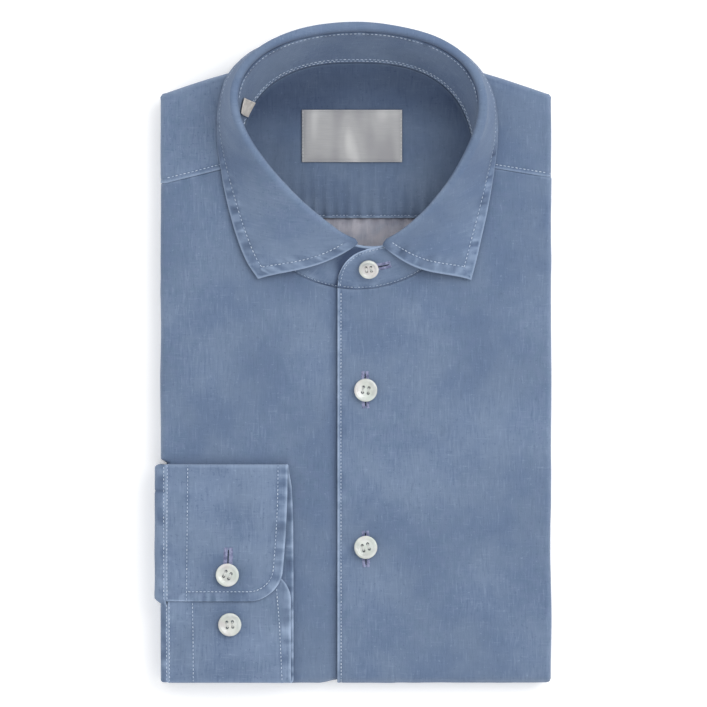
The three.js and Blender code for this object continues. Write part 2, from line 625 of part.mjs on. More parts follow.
const wasm = await Module();
wasm.setup();
function asSolid(geometry) {
  const bare = geometry.clone();
  bare.deleteAttribute("normal");
  bare.deleteAttribute("uv");
  const merged = mergeVertices(bare, 1e-4);
  return new wasm.Manifold(
    new wasm.Mesh({
      numProp: 3,
      vertProperties: new Float32Array(merged.attributes.position.array),
      triVerts: new Uint32Array(merged.index.array),
    }),
  );
}
function asGeometry(solid) {
  const { vertProperties, triVerts } = solid.getMesh();
  const geometry = new THREE.BufferGeometry();
  geometry.setAttribute("position", new THREE.BufferAttribute(new Float32Array(vertProperties), 3));
  return geometry.setIndex(new THREE.BufferAttribute(new Uint32Array(triVerts), 1));
}
function buttonDisc(radius) {
  const thick = 2.6;
  const hole = { radius: radius * 0.1, centre: radius * 0.24 };
  const profile = [
    [0, 0],
    [radius * 0.8, 0],
    [radius * 0.97, thick * 0.35],
    [radius, thick * 0.7],
    [radius * 0.93, thick],
    [radius * 0.74, thick * 0.96],
    [radius * 0.58, thick * 0.68],
    [0, thick * 0.64],
  ].map(([x, y]) => new THREE.Vector2(x, y));
  let disc = asSolid(new THREE.LatheGeometry(profile, 20));
  for (const [sx, sz] of [[1, 1], [1, -1], [-1, 1], [-1, -1]]) {
    const drill = new THREE.CylinderGeometry(hole.radius, hole.radius, thick * 3, 6);
    drill.translate(sx * hole.centre, thick / 2, sz * hole.centre);
    disc = disc.subtract(asSolid(drill));
  }
  return asGeometry(disc).rotateX(Math.PI / 2);
}

// The assembly

const shirt = new THREE.Group();
function add(name, geometry, material) {
  const mesh = new THREE.Mesh(geometry, material);
  mesh.name = name;
  shirt.add(mesh);
  return mesh;
}

add("folded_layers", foldedLayers(), finishes.denim);
add("front_right", frontRight(), finishes.denim);
add("front_left", frontLeft(), finishes.denim);
add("yoke_outer", yokeOuter(), finishes.denim);
add("yoke_inner", yokeInner(), finishes.denimInside);
add("back", backPanel(), finishes.wrongSide);
add("collar_band", collarBand(), finishes.denim);
add("collar_leaf", collarLeaf(), finishes.denim);
add("sleeve_right", sleeveTube(), finishes.denim);
add("cuff_right", cuffBand(), finishes.denim);
add("neck_label", neckLabel(), finishes.labelTape);
add("size_tab", neckTab(), finishes.tabTape);

placket.buttonsY.forEach((y, k) => {
  const button = add(`button_front_${k + 1}`, buttonDisc(buttonRadius), finishes.pearl);
  button.position.set(placket.buttonX, y, topHeight(placket.buttonX, y) + gap);
});

const cuffButtons = [
  { x: -69, y: -121.4, level: cuffLevels.top },
  { x: -67.7, y: -148.7, level: cuffLevels.middle },
];
cuffButtons.forEach(({ x, y, level }, k) => {
  const button = add(`button_cuff_${k + 1}`, buttonDisc(buttonRadius), finishes.pearl);
  button.position.set(x, y, underCuff(x, y) + level + cloth / 2 + gap);
});

const collarButton = add("button_collar", buttonDisc(collarButtonRadius), finishes.pearl);
const bandMiddle = bandFrame(-83);
collarButton.position.copy(bandPoint(-83, 0.5)).addScaledVector(bandMiddle.out, cloth / 2 + 2.4 * gap);
collarButton.quaternion.setFromUnitVectors(vec(0, 0, 1), bandMiddle.out);

export default shirt;
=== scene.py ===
import math

import bpy
import numpy as np
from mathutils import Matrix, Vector
from mathutils.bvhtree import BVHTree


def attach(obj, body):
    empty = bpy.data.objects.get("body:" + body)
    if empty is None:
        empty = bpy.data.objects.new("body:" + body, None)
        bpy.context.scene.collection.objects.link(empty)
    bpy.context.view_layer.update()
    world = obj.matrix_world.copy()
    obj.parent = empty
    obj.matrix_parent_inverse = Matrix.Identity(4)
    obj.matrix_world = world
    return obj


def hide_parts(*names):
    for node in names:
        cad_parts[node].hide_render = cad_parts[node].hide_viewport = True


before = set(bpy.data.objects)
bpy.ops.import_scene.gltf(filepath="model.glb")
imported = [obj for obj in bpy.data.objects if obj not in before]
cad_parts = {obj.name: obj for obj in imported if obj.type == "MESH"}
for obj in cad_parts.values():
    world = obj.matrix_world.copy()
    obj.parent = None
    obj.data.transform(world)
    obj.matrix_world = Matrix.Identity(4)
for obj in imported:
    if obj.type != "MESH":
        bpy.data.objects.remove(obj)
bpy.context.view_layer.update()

# A denim shirt folded into a flat pack, seen from straight above.
# Sizes in this script are millimetres unless a name says metres, and meshes are scaled as they are made.
scene = bpy.context.scene
mm = 0.001


# Camera, light and floor

cameraSet = {"middle": (0.275, 0.275), "widthSeen": 388.85, "level": 18, "distance": 4000}
lightSet = {
    "sky": 0.85,
    "skyTint": (0.985, 0.99, 1.0),
    "panelPower": 11.5,
    "panelSize": 1.1,
    "panelPlace": (0.75, 0.5, 1.2),  # metres
    "fillPower": 1.5,
    "fillPlace": (-0.9, -0.5, 1.3),
    "floorColour": (0.97, 0.97, 0.97),
    "floorGlow": 0.2,  # a light table: keeps the shadows pale
    "floorSize": 3.0,  # metres
}


def makeCamera():
    data = bpy.data.cameras.new("camera")
    data.sensor_width = 36
    data.lens = 36 * cameraSet["distance"] / cameraSet["widthSeen"]
    data.clip_end = 20
    camera = bpy.data.objects.new("camera", data)
    x, y = cameraSet["middle"]
    camera.location = (x * mm, y * mm, (cameraSet["level"] + cameraSet["distance"]) * mm)
    scene.collection.objects.link(camera)
    scene.camera = camera


def aimedLight(name, place, power, size):
    data = bpy.data.lights.new(name, "AREA")
    data.shape = "SQUARE"
    data.size = size
    data.energy = power
    light = bpy.data.objects.new(name, data)
    light.location = place
    light.rotation_euler = (-Vector(place)).to_track_quat("-Z", "Y").to_euler()
    scene.collection.objects.link(light)


def makeStudio():
    aimedLight("panelLight", lightSet["panelPlace"], lightSet["panelPower"], lightSet["panelSize"])
    aimedLight("fillLight", lightSet["fillPlace"], lightSet["fillPower"], 1.0)
    world = bpy.data.worlds.new("studio")
    world.use_nodes = True
    background = world.node_tree.nodes["Background"]
    background.inputs["Color"].default_value = (*lightSet["skyTint"], 1)
    background.inputs["Strength"].default_value = lightSet["sky"]
    scene.world = world
    scene.view_settings.view_transform = "Standard"
    half = lightSet["floorSize"] / 2
    mesh = bpy.data.meshes.new("floor")
    mesh.from_pydata([(-half, -half, 0), (half, -half, 0), (half, half, 0), (-half, half, 0)], [],
        [(0, 1, 2, 3)])
    floor = bpy.data.objects.new("floor", mesh)
    scene.collection.objects.link(floor)
    paper = bpy.data.materials.new("floorPaper")
    paper.use_nodes = True
    shader = paper.node_tree.nodes["Principled BSDF"]
    shader.inputs["Base Color"].default_value = (*lightSet["floorColour"], 1)
    shader.inputs["Roughness"].default_value = 0.9
    shader.inputs["Emission Color"].default_value = (1, 1, 1, 1)
    shader.inputs["Emission Strength"].default_value = lightSet["floorGlow"]
    mesh.materials.append(paper)


makeCamera()
makeStudio()
print("camera, light and floor are set")


# Finishes


class Value:
    # A socket that takes part in plain arithmetic
    def __init__(self, finish, socket):
        self.finish = finish
        self.socket = socket

    def maths(self, operation, first, second=None):
        values = {0: first} if second is None else {0: first, 1: second}
        return self.finish.add("Math", {"operation": operation}, values)

    def __add__(self, other):
        return self.maths("ADD", self, other)

    def __radd__(self, other):
        return self.maths("ADD", other, self)

    def __sub__(self, other):
        return self.maths("SUBTRACT", self, other)

    def __rsub__(self, other):
        return self.maths("SUBTRACT", other, self)

    def __mul__(self, other):
        return self.maths("MULTIPLY", self, other)

    def __rmul__(self, other):
        return self.maths("MULTIPLY", other, self)

    def __truediv__(self, other):
        return self.maths("DIVIDE", self, other)

    def __neg__(self):
        return self.maths("MULTIPLY", self, -1)

    def sine(self):
        return self.maths("SINE", self)

    def clamped(self):
        return self.finish.add("Clamp", {}, {0: self, 1: 0.0, 2: 1.0})

    def between(self, low, high):
        # 0 below low, 1 above high
        return self.finish.add(
            "MapRange",
            {"interpolation_type": "SMOOTHSTEP"},
            {"Value": self, "From Min": low, "From Max": high, "To Min": 0.0, "To Max": 1.0},
        )


class Finish:
    def __init__(self, name):
        self.material = bpy.data.materials.new(name)
        self.material.use_nodes = True
        self.tree = self.material.node_tree
        self.tree.nodes.clear()
        self.shader = self.tree.nodes.new("ShaderNodeBsdfPrincipled")
        output = self.tree.nodes.new("ShaderNodeOutputMaterial")
        self.tree.links.new(self.shader.outputs[0], output.inputs["Surface"])

    def add(self, kind, settings, sockets, output=0):
        node = self.tree.nodes.new("ShaderNode" + kind)
        for key, setting in settings.items():
            setattr(node, key, setting)
        for key, value in sockets.items():
            self.feed(node.inputs[key], value)
        return Value(self, node.outputs[output])

    def feed(self, socket, value):
        if isinstance(value, Value):
            self.tree.links.new(value.socket, socket)
        elif isinstance(value, tuple) and socket.type == "RGBA":
            socket.default_value = (*value, 1)
        else:
            socket.default_value = value

    def set(self, **sockets):
        for key, value in sockets.items():
            words = "".join(" " + c if c.isupper() else c for c in key).strip()
            name = (words[0].upper() + words[1:]).replace("Ior", "IOR")
            self.feed(self.shader.inputs[name], value)

    def attribute(self, name, output="Fac"):
        return self.add("Attribute", {"attribute_name": name}, {}, output)

    def stretched(self, vector, scale):
        return self.add("VectorMath", {"operation": "MULTIPLY"}, {0: vector, 1: scale})

    def shifted(self, vector, shift):
        return self.add("VectorMath", {"operation": "ADD"}, {0: vector, 1: shift})

    def noise(self, vector, scale, detail=2.0, roughness=0.5):
        sockets = {"Vector": vector, "Scale": scale, "Detail": detail, "Roughness": roughness}
        return self.add("TexNoise", {}, sockets)

    def parts(self, vector):
        node = self.add("SeparateXYZ", {}, {0: vector}).socket.node
        return [Value(self, socket) for socket in node.outputs]

    def blend(self, factor, first, second):
        return self.add("Mix", {"data_type": "RGBA"}, {0: factor, 6: first, 7: second}, 2)

    def relief(self, height, depth):
        sockets = {"Strength": 1.0, "Distance": depth, "Height": height}
        self.set(normal=self.add("Bump", {}, sockets))


def srgb(*levels):
    return tuple(((v / 255 + 0.055) / 1.055) ** 2.4 if v > 10 else v / 3294.6 for v in levels)


denimLook = {
    "deep": srgb(98, 116, 144),
    "pale": srgb(108, 125, 150),
    "slate": srgb(97, 119, 142),
    "violet": srgb(106, 120, 149),
    "worn": srgb(160, 178, 204),
    "hollow": srgb(58, 72, 98),
    "thread": 0.42,  # pitch of the weave
    "relief": 0.05,
}
wrongSideLook = {
    "deep": srgb(146, 149, 162),
    "pale": srgb(182, 179, 186),
    "slate": srgb(150, 157, 172),
    "violet": srgb(170, 163, 170),
    "worn": srgb(204, 200, 204),
    "hollow": srgb(98, 98, 112),
    "thread": 0.42,
    "relief": 0.06,
}


def clothFinish(name, look, lightness=1.0, patch=1.0, slubs=1.0):
    # Warp-faced cotton: cloudy fading, short slubs along the warp, rarer ones across, neps and a fine weave
    f = Finish(name)
    shade = lambda key: tuple(c * lightness for c in look[key])
    grain = f.attribute("grain", "Vector")
    wear = f.attribute("wear")
    x, y, z = f.parts(grain)
    waver = f.noise(grain, 70.0, 1.0)
    bent = f.add("CombineXYZ", {}, {0: x + waver * 0.002, 1: y, 2: z})
    cloud = f.noise(grain, 34.0, 3.0, 0.55)
    hue = f.noise(f.shifted(grain, (3.1, 1.7, 0.4)), 24.0, 2.0)
    slub = f.noise(f.stretched(bent, (1300.0, 80.0, 60.0)), 1.0, 2.0, 0.6)
    dash = f.noise(f.stretched(f.shifted(bent, (0.7, 0.2, 0.0)), (850.0, 105.0, 30.0)), 1.0, 1.0)
    weft = f.noise(f.stretched(f.shifted(grain, (0.3, 0.9, 0.0)), (120.0, 1000.0, 60.0)), 1.0, 1.0, 0.6)
    neps = f.noise(grain, 620.0, 1.0)
    mottle = f.noise(grain, 190.0, 2.0, 0.6)
    base = f.blend(cloud.between(0.36, 0.64), shade("deep"), shade("pale"))
    base = f.blend(hue.between(0.35, 0.65) * (0.42 * patch), base,
        f.blend(mottle.between(0.3, 0.7), shade("slate"), shade("violet")))
    streak = (slub.between(0.3, 0.75) - 0.5) * (0.1 * slubs)
    dashes = (dash.between(0.58, 0.74) * 0.16 - dash.between(0.42, 0.27) * 0.15) * slubs
    across = weft.between(0.6, 0.76) * 0.1 - weft.between(0.38, 0.26) * 0.06
    speck = neps.between(0.66, 0.8) * 0.2 - neps.between(0.36, 0.26) * 0.16
    mark = streak + dashes + across + speck + (mottle - 0.5) * 0.15
    # The per-point attribute pales the cloth towards the pale colour for real wear and painted highlights,
    # and darkens it towards the dark colour for painted shade; the cloth's own slubs and neps use the same
    # two colours
    light = (mark + wear).clamped()
    dark = (-(mark + wear)).clamped()
    base = f.blend(light, base, shade("worn"))
    base = f.blend(dark, base, shade("hollow"))
    turn = 2 * math.pi / (look["thread"] * mm)
    warp = ((x + z) * turn).sine()
    fill = ((y + z) * turn).sine()
    twill = ((x + y + z) * (turn / 2)).sine()
    weave = warp * fill * 0.5 + twill * 0.35
    base = f.blend((weave * 0.5 + 0.5).clamped() * 0.08, base, shade("hollow"))
    f.set(baseColor=base, roughness=0.88 - light * 0.05, sheenWeight=0.12, sheenRoughness=0.45,
        specularIorLevel=0.22)
    f.relief(weave + slub * 1.6 + mottle * 0.8, look["relief"] * mm)
    return f.material


def threadFinish(name, pale, dark, roughness=0.7):
    f = Finish(name)
    place = f.add("TexCoord", {}, {}, "Object")
    tone = f.noise(place, 420.0, 1.0)
    x, y, z = f.parts(place)
    ply = ((x + y + z * 0.5) * (2 * math.pi / (0.3 * mm))).sine()
    f.set(baseColor=f.blend(tone.between(0.35, 0.65), dark, pale), roughness=roughness, sheenWeight=0.1)
    f.relief(ply, 0.03 * mm)
    return f.material


def pearlFinish():
    # Cut shell: layered swirls with faint pink and green, and a polished face
    f = Finish("shellPearl")
    place = f.add("TexCoord", {}, {}, "Object")
    bent = f.noise(place, 95.0, 2.0)
    x, y, _ = f.parts(place)
    layers = ((x * 700.0 + y * 420.0) + bent * 9.0).sine()
    cloud = f.noise(place, 160.0, 3.0)
    tint = f.noise(f.shifted(place, (0.4, 0.2, 0.1)), 120.0, 1.0)
    base = f.blend(cloud.between(0.3, 0.7), srgb(178, 182, 178), srgb(214, 217, 214))
    base = f.blend((layers * 0.5 + 0.5) * 0.4, base, srgb(206, 211, 200))
    base = f.blend(tint.between(0.5, 0.72) * 0.3, base, srgb(212, 194, 198))
    base = f.blend(tint.between(0.5, 0.3) * 0.3, base, srgb(176, 194, 186))
    f.set(baseColor=base, roughness=0.26 - cloud * 0.1, coatWeight=0.5, coatRoughness=0.12,
        specularIorLevel=0.6)
    f.relief(layers * 0.5 + cloud, 0.03 * mm)
    return f.material


def satinFinish():
    # Woven satin: floats along the tape, painted bands of sheen and shade, and a denser woven edge
    f = Finish("labelSatin")
    grain = f.attribute("grain", "Vector")
    wear = f.attribute("wear")
    _, y, _ = f.parts(grain)
    rib = (y * (2 * math.pi / (0.55 * mm))).sine()
    floats = f.noise(f.stretched(grain, (90.0, 2400.0, 1.0)), 1.0, 2.0)
    paintedSheenAndShade = f.noise(f.stretched(grain, (62.0, 16.0, 1.0)), 1.0, 1.0)
    base = f.blend(floats.between(0.3, 0.7), srgb(177, 177, 178), srgb(189, 189, 188))
    base = f.blend(paintedSheenAndShade.between(0.36, 0.5) * 0.5, srgb(150, 150, 153), base)
    base = f.blend(paintedSheenAndShade.between(0.5, 0.66) * 0.7, base, srgb(226, 226, 224))
    base = f.blend(wear.clamped(), base, srgb(126, 128, 134))
    f.set(baseColor=base, roughness=0.52, sheenWeight=0.25, anisotropic=0.4, specularIorLevel=0.4)
    f.relief(rib + floats * 1.5, 0.05 * mm)
    return f.material


def tapeFinish():
    f = Finish("tabTape")
    grain = f.attribute("grain", "Vector")
    wear = f.attribute("wear")
    x, y, _ = f.parts(grain)
    rib = (x * (2 * math.pi / (0.6 * mm))).sine() * (y * (2 * math.pi / (0.5 * mm))).sine()
    tone = f.noise(grain, 300.0, 2.0)
    base = f.blend(tone.between(0.3, 0.7), srgb(196, 189, 181), srgb(222, 215, 207))
    base = f.blend(wear.clamped(), base, srgb(150, 146, 142))
    f.set(baseColor=base, roughness=0.75, sheenWeight=0.15)
    f.relief(rib, 0.06 * mm)
    return f.material


finishes = {
    "denim": clothFinish("washedDenim", denimLook, 1.0, 0.75, 0.68),
    "denimCollar": clothFinish("washedDenimCollar", denimLook, 1.04, 0.7, 0.4),
    # Painted shade: a darker copy of the denim for the inner yoke inside the neck
    "denimInside": clothFinish("washedDenimInsideShaded", denimLook, 0.88, 0.4, 0.55),
    # Painted light: a lighter copy of the wrong side, for the back that lies in shade inside the neck
    "wrongSide": clothFinish("denimWrongSideLit", wrongSideLook, 1.17),
    "seamThread": threadFinish("seamThread", srgb(214, 226, 240), srgb(176, 194, 218)),
    "holeThread": threadFinish("buttonholeThread", srgb(158, 163, 196), srgb(112, 116, 154)),
    "buttonThread": threadFinish("buttonThread", srgb(226, 228, 224), srgb(196, 200, 196)),
    # Painted shadow: a near-black copy of the denim for the dark strip in each buttonhole's slit
    "slit": clothFinish("buttonholeSlitShadow", denimLook, 0.22),
    "pearl": pearlFinish(),
    "satin": satinFinish(),
    "tape": tapeFinish(),
}
print("finishes are mixed")


# Small tools for curves, noise and meshes


def lerp(a, b, t):
    return a + (b - a) * t


def smooth(value, low, high):
    t = np.clip((value - low) / (high - low), 0, 1)
    return t * t * (3 - 2 * t)


def bell(value, width):
    return np.exp(-((value / width) ** 2))


def unit(v):
    return v / (np.linalg.norm(v, axis=-1, keepdims=True) + 1e-12)


def lattice(x, y, size, seed):
    # Smooth noise from -1 to 1 whose lumps are about one size across
    table = np.random.RandomState(seed).uniform(-1, 1, (97, 97))
    u = np.asarray(x, float) / size + 31.7
    v = np.asarray(y, float) / size + 17.3
    i, j = np.floor(u).astype(int), np.floor(v).astype(int)
    fu, fv = smooth(u - i, 0, 1), smooth(v - j, 0, 1)
    pick = lambda a, b: table[a % 97, b % 97]
    return lerp(lerp(pick(i, j), pick(i + 1, j), fu), lerp(pick(i, j + 1), pick(i + 1, j + 1), fu), fv)


def runLength(lines):
    # Length along axis 1 of a grid of points
    step = np.linalg.norm(np.diff(lines, axis=1), axis=2)
    return np.concatenate([np.zeros((len(lines), 1)), np.cumsum(step, axis=1)], axis=1)


def rungs(length, start, count, end):
    # Places along a length: set distances from both ends, and count even steps between them
    start, end = list(start), list(end)
    middle = np.linspace(start[-1], length - end[-1], count + 1)[1:-1]
    return np.concatenate([start, middle, [length - e for e in reversed(end)]])


def resample(line, places):
    line = np.asarray(line, float)
    run = runLength(line[None])[0]
    return np.stack([np.interp(places, run, line[:, k]) for k in range(line.shape[1])], axis=1)


def normalsOf(grid, ring=False):
    padded = np.concatenate([grid[-1:], grid, grid[:1]]) if ring else grid
    along = np.gradient(padded, axis=0)
    along = along[1:-1] if ring else along
    return unit(np.cross(along, np.gradient(grid, axis=1)))


def edgeDistance(grid, ring=False):
    run = runLength(grid)
    away = np.minimum(run, run[:, -1:] - run)
    if ring:
        return away
    run = runLength(grid.transpose(1, 0, 2)).T
    return np.minimum(away, np.minimum(run, run[-1:] - run))


trees = {}


def makeObject(name, points, faces, finish, rides="root"):
    mesh = bpy.data.meshes.new(name)
    mesh.from_pydata((np.asarray(points) * mm).tolist(), [], [tuple(f) for f in faces])
    mesh.polygons.foreach_set("use_smooth", [True] * len(mesh.polygons))
    mesh.materials.append(finish)
    piece = bpy.data.objects.new(name, mesh)
    scene.collection.objects.link(piece)
    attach(piece, rides)
    return piece


def tag(piece, grain, wear):
    mesh = piece.data
    layer = mesh.attributes.new("grain", "FLOAT_VECTOR", "POINT")
    layer.data.foreach_set("vector", (np.asarray(grain) * mm).astype(np.float32).ravel())
    layer = mesh.attributes.new("wear", "FLOAT", "POINT")
    layer.data.foreach_set("value", np.asarray(wear).astype(np.float32).ravel())


def shellFaces(n, m, ring):
    index = np.arange(n * m).reshape(n, m)
    side = np.concatenate([index, index[:1]]) if ring else index
    quad = lambda a: np.stack([a[:-1, :-1], a[1:, :-1], a[1:, 1:], a[:-1, 1:]], -1).reshape(-1, 4)
    strip = lambda a: np.stack([a[:-1], a[:-1] + n * m, a[1:] + n * m, a[1:]], -1)
    strips = [strip(side[:, 0]), strip(side[:, -1])[:, ::-1]]
    if not ring:
        strips += [strip(index[0])[:, ::-1], strip(index[-1])]
    return np.concatenate([quad(side), quad(side + n * m)[:, ::-1], *strips])


def makeCloth(name, middle, wall, finish, grain, ring=False, lift=None, wear=None, facing=1, edgeGlow=0.5):
    # One closed wall of cloth with rounded edges round a grid of points
    middle = np.asarray(middle, float)
    away = edgeDistance(middle, ring)
    normal = normalsOf(middle, ring) * facing
    if lift is not None:
        middle = middle + normal * lift[..., None]
        normal = normalsOf(middle, ring) * facing
    half = wall / 2
    depth = np.maximum(half * np.sqrt(1 - (1 - np.clip(away / half, 0, 1)) ** 2), 0.06)[..., None]
    outer, inner = middle + normal * depth, middle - normal * depth
    points = np.concatenate([outer.reshape(-1, 3), inner.reshape(-1, 3)])
    faces = shellFaces(*middle.shape[:2], ring)
    a, b, c = (points[faces[:, k]] for k in range(3))
    if np.einsum("ij,ij->i", a, np.cross(b, c)).sum() < 0:
        faces = faces[:, ::-1]
    piece = makeObject(name, points, faces, finish)
    # Edges are painted paler: partly worn, partly a painted highlight along the rounded edge
    glow = edgeGlow * bell(np.maximum(away - 0.5, 0), 0.6)
    wear = glow if wear is None else wear + glow
    cloth = np.asarray(grain, float).reshape(-1, 3)
    tag(piece, np.concatenate([cloth, cloth + (0, 0, 40)]), np.concatenate([wear.ravel(), wear.ravel()]))
    trees[name] = BVHTree.FromPolygons(points.tolist(), faces.tolist())
    return piece, outer


def standsFor(node):
    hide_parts(node)


def onto(names, x, y):
    # Where a plumb line from above meets the cloth
    best = None
    for name in names:
        place, normal, _, _ = trees[name].ray_cast(Vector((x, y, 90)), Vector((0, 0, -1)))
        if place is not None and (best is None or place.z > best[0][2]):
            normal = normal if normal.z > 0 else -normal
            best = (np.array(place), np.array(normal))
    return best


def evenSteps(path, pitch):
    path = np.asarray(path, float)
    length = runLength(path[None])[0][-1]
    count = max(2, round(length / pitch) + 1)
    return resample(path, np.linspace(0, length, count))


threadShape = {"rings": 5, "sides": 6}


def threadMesh(centres, along, up, length, radius, seed=1, hump=0.5):
    # Short stitches: one little arched sausage for each centre
    rings, sides = threadShape["rings"], threadShape["sides"]
    u = np.linspace(0.12, math.pi - 0.12, rings)
    turn = np.arange(sides) * 2 * math.pi / sides
    x = np.repeat(-np.cos(u) / 2, sides)
    thick = np.repeat(np.sin(u) ** 0.6, sides)
    y, z = np.tile(np.cos(turn), rings) * thick, np.tile(np.sin(turn), rings) * thick
    rise = hump * (1 - (2 * x) ** 2) - 0.35
    chance = np.random.RandomState(seed)
    n = len(centres)
    along, up = unit(np.asarray(along, float)), unit(np.asarray(up, float))
    side = unit(np.cross(up, along))
    swing = chance.normal(0, 0.07, (n, 1))
    along = unit(along + side * swing)
    side = unit(np.cross(up, along))
    size = (length * chance.uniform(0.9, 1.08, n))[:, None, None]
    thickness = (radius * chance.uniform(0.9, 1.12, n))[:, None, None]
    points = (
        np.asarray(centres)[:, None]
        + along[:, None] * x[None, :, None] * size
        + side[:, None] * y[None, :, None] * thickness
        + up[:, None] * (z + rise)[None, :, None] * thickness
    ).reshape(-1, 3)
    ring = np.arange(sides)
    faces = []
    for k in range(rings - 1):
        a, b = k * sides + ring, k * sides + (ring + 1) % sides
        faces.append(np.stack([a, b, b + sides, a + sides], -1))
    quads = np.concatenate(faces)
    per = rings * sides
    allQuads = (quads[None] + (np.arange(n) * per)[:, None, None]).reshape(-1, 4)
    caps = np.array([ring[::-1], ring + (rings - 1) * sides])
    allCaps = (caps[None] + (np.arange(n) * per)[:, None, None]).reshape(-1, sides)
    return points, allQuads.tolist() + allCaps.tolist()


class Sewing:
    # Gathers stitches that become one piece
    def __init__(self):
        self.points = []
        self.faces = []
        self.count = 0

    def add(self, points, faces):
        self.faces += [[v + self.count for v in face] for face in faces]
        self.points.append(points)
        self.count += len(points)

    def row(self, path, normals, pitch=2.4, fill=0.66, radius=0.2, lift=0.02, seed=1):
        # Stitches along a path that already lies on the cloth
        path = np.asarray(path, float)
        both = evenSteps(np.concatenate([path, normals], axis=1), pitch)
        centres = (both[:-1, :3] + both[1:, :3]) / 2
        up = unit((both[:-1, 3:] + both[1:, 3:]) / 2)
        radius = radius(centres) if callable(radius) else radius
        self.add(*threadMesh(centres + up * lift, both[1:, :3] - both[:-1, :3], up, pitch * fill,
            radius, seed))

    def overRow(self, names, path, pitch=2.4, **settings):
        # Stitches along a plan drawn from above
        flat = evenSteps([(x, y, 0.0) for x, y in path], pitch / 3)
        hits = [onto(names, x, y) for x, y, _ in flat]
        hits = [h for h in hits if h is not None]
        self.row([h[0] for h in hits], [h[1] for h in hits], pitch, **settings)

    def make(self, name, finish):
        return makeObject(name, np.concatenate(self.points), self.faces, finish)


def planDistance(x, y, path):
    # Distance to a path drawn from above, and how far along it
    best = np.full(np.shape(x), 1e9)
    along = np.zeros(np.shape(x))
    run = 0.0
    for (ax, ay), (bx, by) in zip(path[:-1], path[1:]):
        dx, dy = bx - ax, by - ay
        length = math.hypot(dx, dy)
        t = np.clip(((x - ax) * dx + (y - ay) * dy) / length**2, 0, 1)
        d = np.hypot(x - ax - t * dx, y - ay - t * dy)
        closer = d < best
        best = np.where(closer, d, best)
        along = np.where(closer, run + t * length, along)
        run += length
    return best, along


def fromPhoto(*places):
    # Picture places to plan millimetres
    return [((px - 353) * 0.55, (354 - py) * 0.55) for px, py in places]


# The pack: its outline, neckline and heights

wall = 1.0
clear = 0.3
layer = 1.5
pack = {
    "left": -106.0,
    "right": 109.3,
    "bottom": -181.4,
    "shoulderY": 142.7,
    "neckBackY": 168.5,
    "shoulderBow": 1.48,
    "height": 18.0,
    "dome": 1.2,
    "corner": 4.6,
}
middleX = (pack["left"] + pack["right"]) / 2
halfWidth = (pack["right"] - pack["left"]) / 2
roll = {"reach": 3.0, "reachBottom": 4.5, "depth": 4.9, "depthBottom": 8.8, "end": 150.0}
neck = {"x": 2.0, "y": 98.5, "halfWidth": 66.0, "halfLength": 63.5, "backSquare": 2.6}
placket = {"edgeX": -8.7, "facingX": 24.0, "stepFromX": 25.2, "stepX": 27.0, "stitchX": -6.6}
lap = {"fullX": -12.0, "goneX": -75.0}
yoke = {"leftSeamY": 93.9, "rightSeamY": 97.4, "raise": 0.6, "innerSeamY": 74.8}
sidePocket = {"depth": 3.3, "fromY": -57.2, "toY": -59.9}


def neckAngleAtX(x):
    return -math.degrees(math.acos((x - neck["x"]) / neck["halfWidth"]))


def neckPoint(angle, grow):
    c, s = math.cos(math.radians(angle)), math.sin(math.radians(angle))
    power = 2 / neck["backSquare"] if s > 0 else 1
    return np.array([
        neck["x"] + (neck["halfWidth"] + grow) * math.copysign(abs(c) ** power, c),
        neck["y"] + (neck["halfLength"] + grow) * math.copysign(abs(s) ** power, s),
    ])


def topHeight(x, y):
    across = (x - middleX) / halfWidth
    along = y / -pack["bottom"]
    return pack["height"] + pack["dome"] * np.maximum(0, 1 - across**2) * np.maximum(0, 1 - along**2)


def lapDepth(x):
    return layer * smooth(x, lap["goneX"], lap["fullX"])


def leftEdge(y):
    return pack["left"] + sidePocket["depth"] * float(smooth(-y, -sidePocket["fromY"], -sidePocket["toY"]))


# An outline place is x, y, the way out, how deep its roll is, and how far it belongs to the back
def shoulderFold(x):
    share = abs(x - middleX) / halfWidth
    drop = pack["neckBackY"] - pack["shoulderY"]
    slope = -math.copysign(drop * pack["shoulderBow"] * share ** (pack["shoulderBow"] - 1),
        x - middleX) / halfWidth
    size = math.hypot(slope, 1)
    return [x, pack["neckBackY"] - drop * share ** pack["shoulderBow"], -slope / size, 1 / size, 0, 1]


def sideEdge(x, y, way):
    return [x, y, way, 0, 0, float(smooth(y, yoke["rightSeamY"], pack["shoulderY"]))]


def hemEdge(x):
    return [x, pack["bottom"], 0, -1, 1, 0]


def cornerEdge(x, y, degrees, t, deep, back):
    # A corner is pressed squarer than its roll: t runs from 0 to 1 round it
    c, s = math.cos(math.radians(degrees)), math.sin(math.radians(degrees))
    turn = t * math.pi / 2
    pressed = pack["corner"] * ((math.cos(turn) ** 4 + math.sin(turn) ** 4) ** -0.25 - 1)
    size = pack["corner"] + pressed
    return [x + size * c, y + size * s, c, s, deep, back, pressed]


touch = shoulderFold(pack["right"] - pack["corner"] * 0.67)
shoulder = {
    "angle": math.degrees(math.atan2(touch[3], touch[2])),
    "endX": touch[0],
    "x": touch[0] - pack["corner"] * touch[2],
    "y": touch[1] - pack["corner"] * touch[3],
}
mirrorX = lambda x: 2 * middleX - x
bottomLeft = leftEdge(pack["bottom"])
corner = pack["corner"]
sideLeftY = [yoke["leftSeamY"], 66, 38, 10, -18, -36, -57.2, -59.9, -90, -120, -150,
    pack["bottom"] + corner]

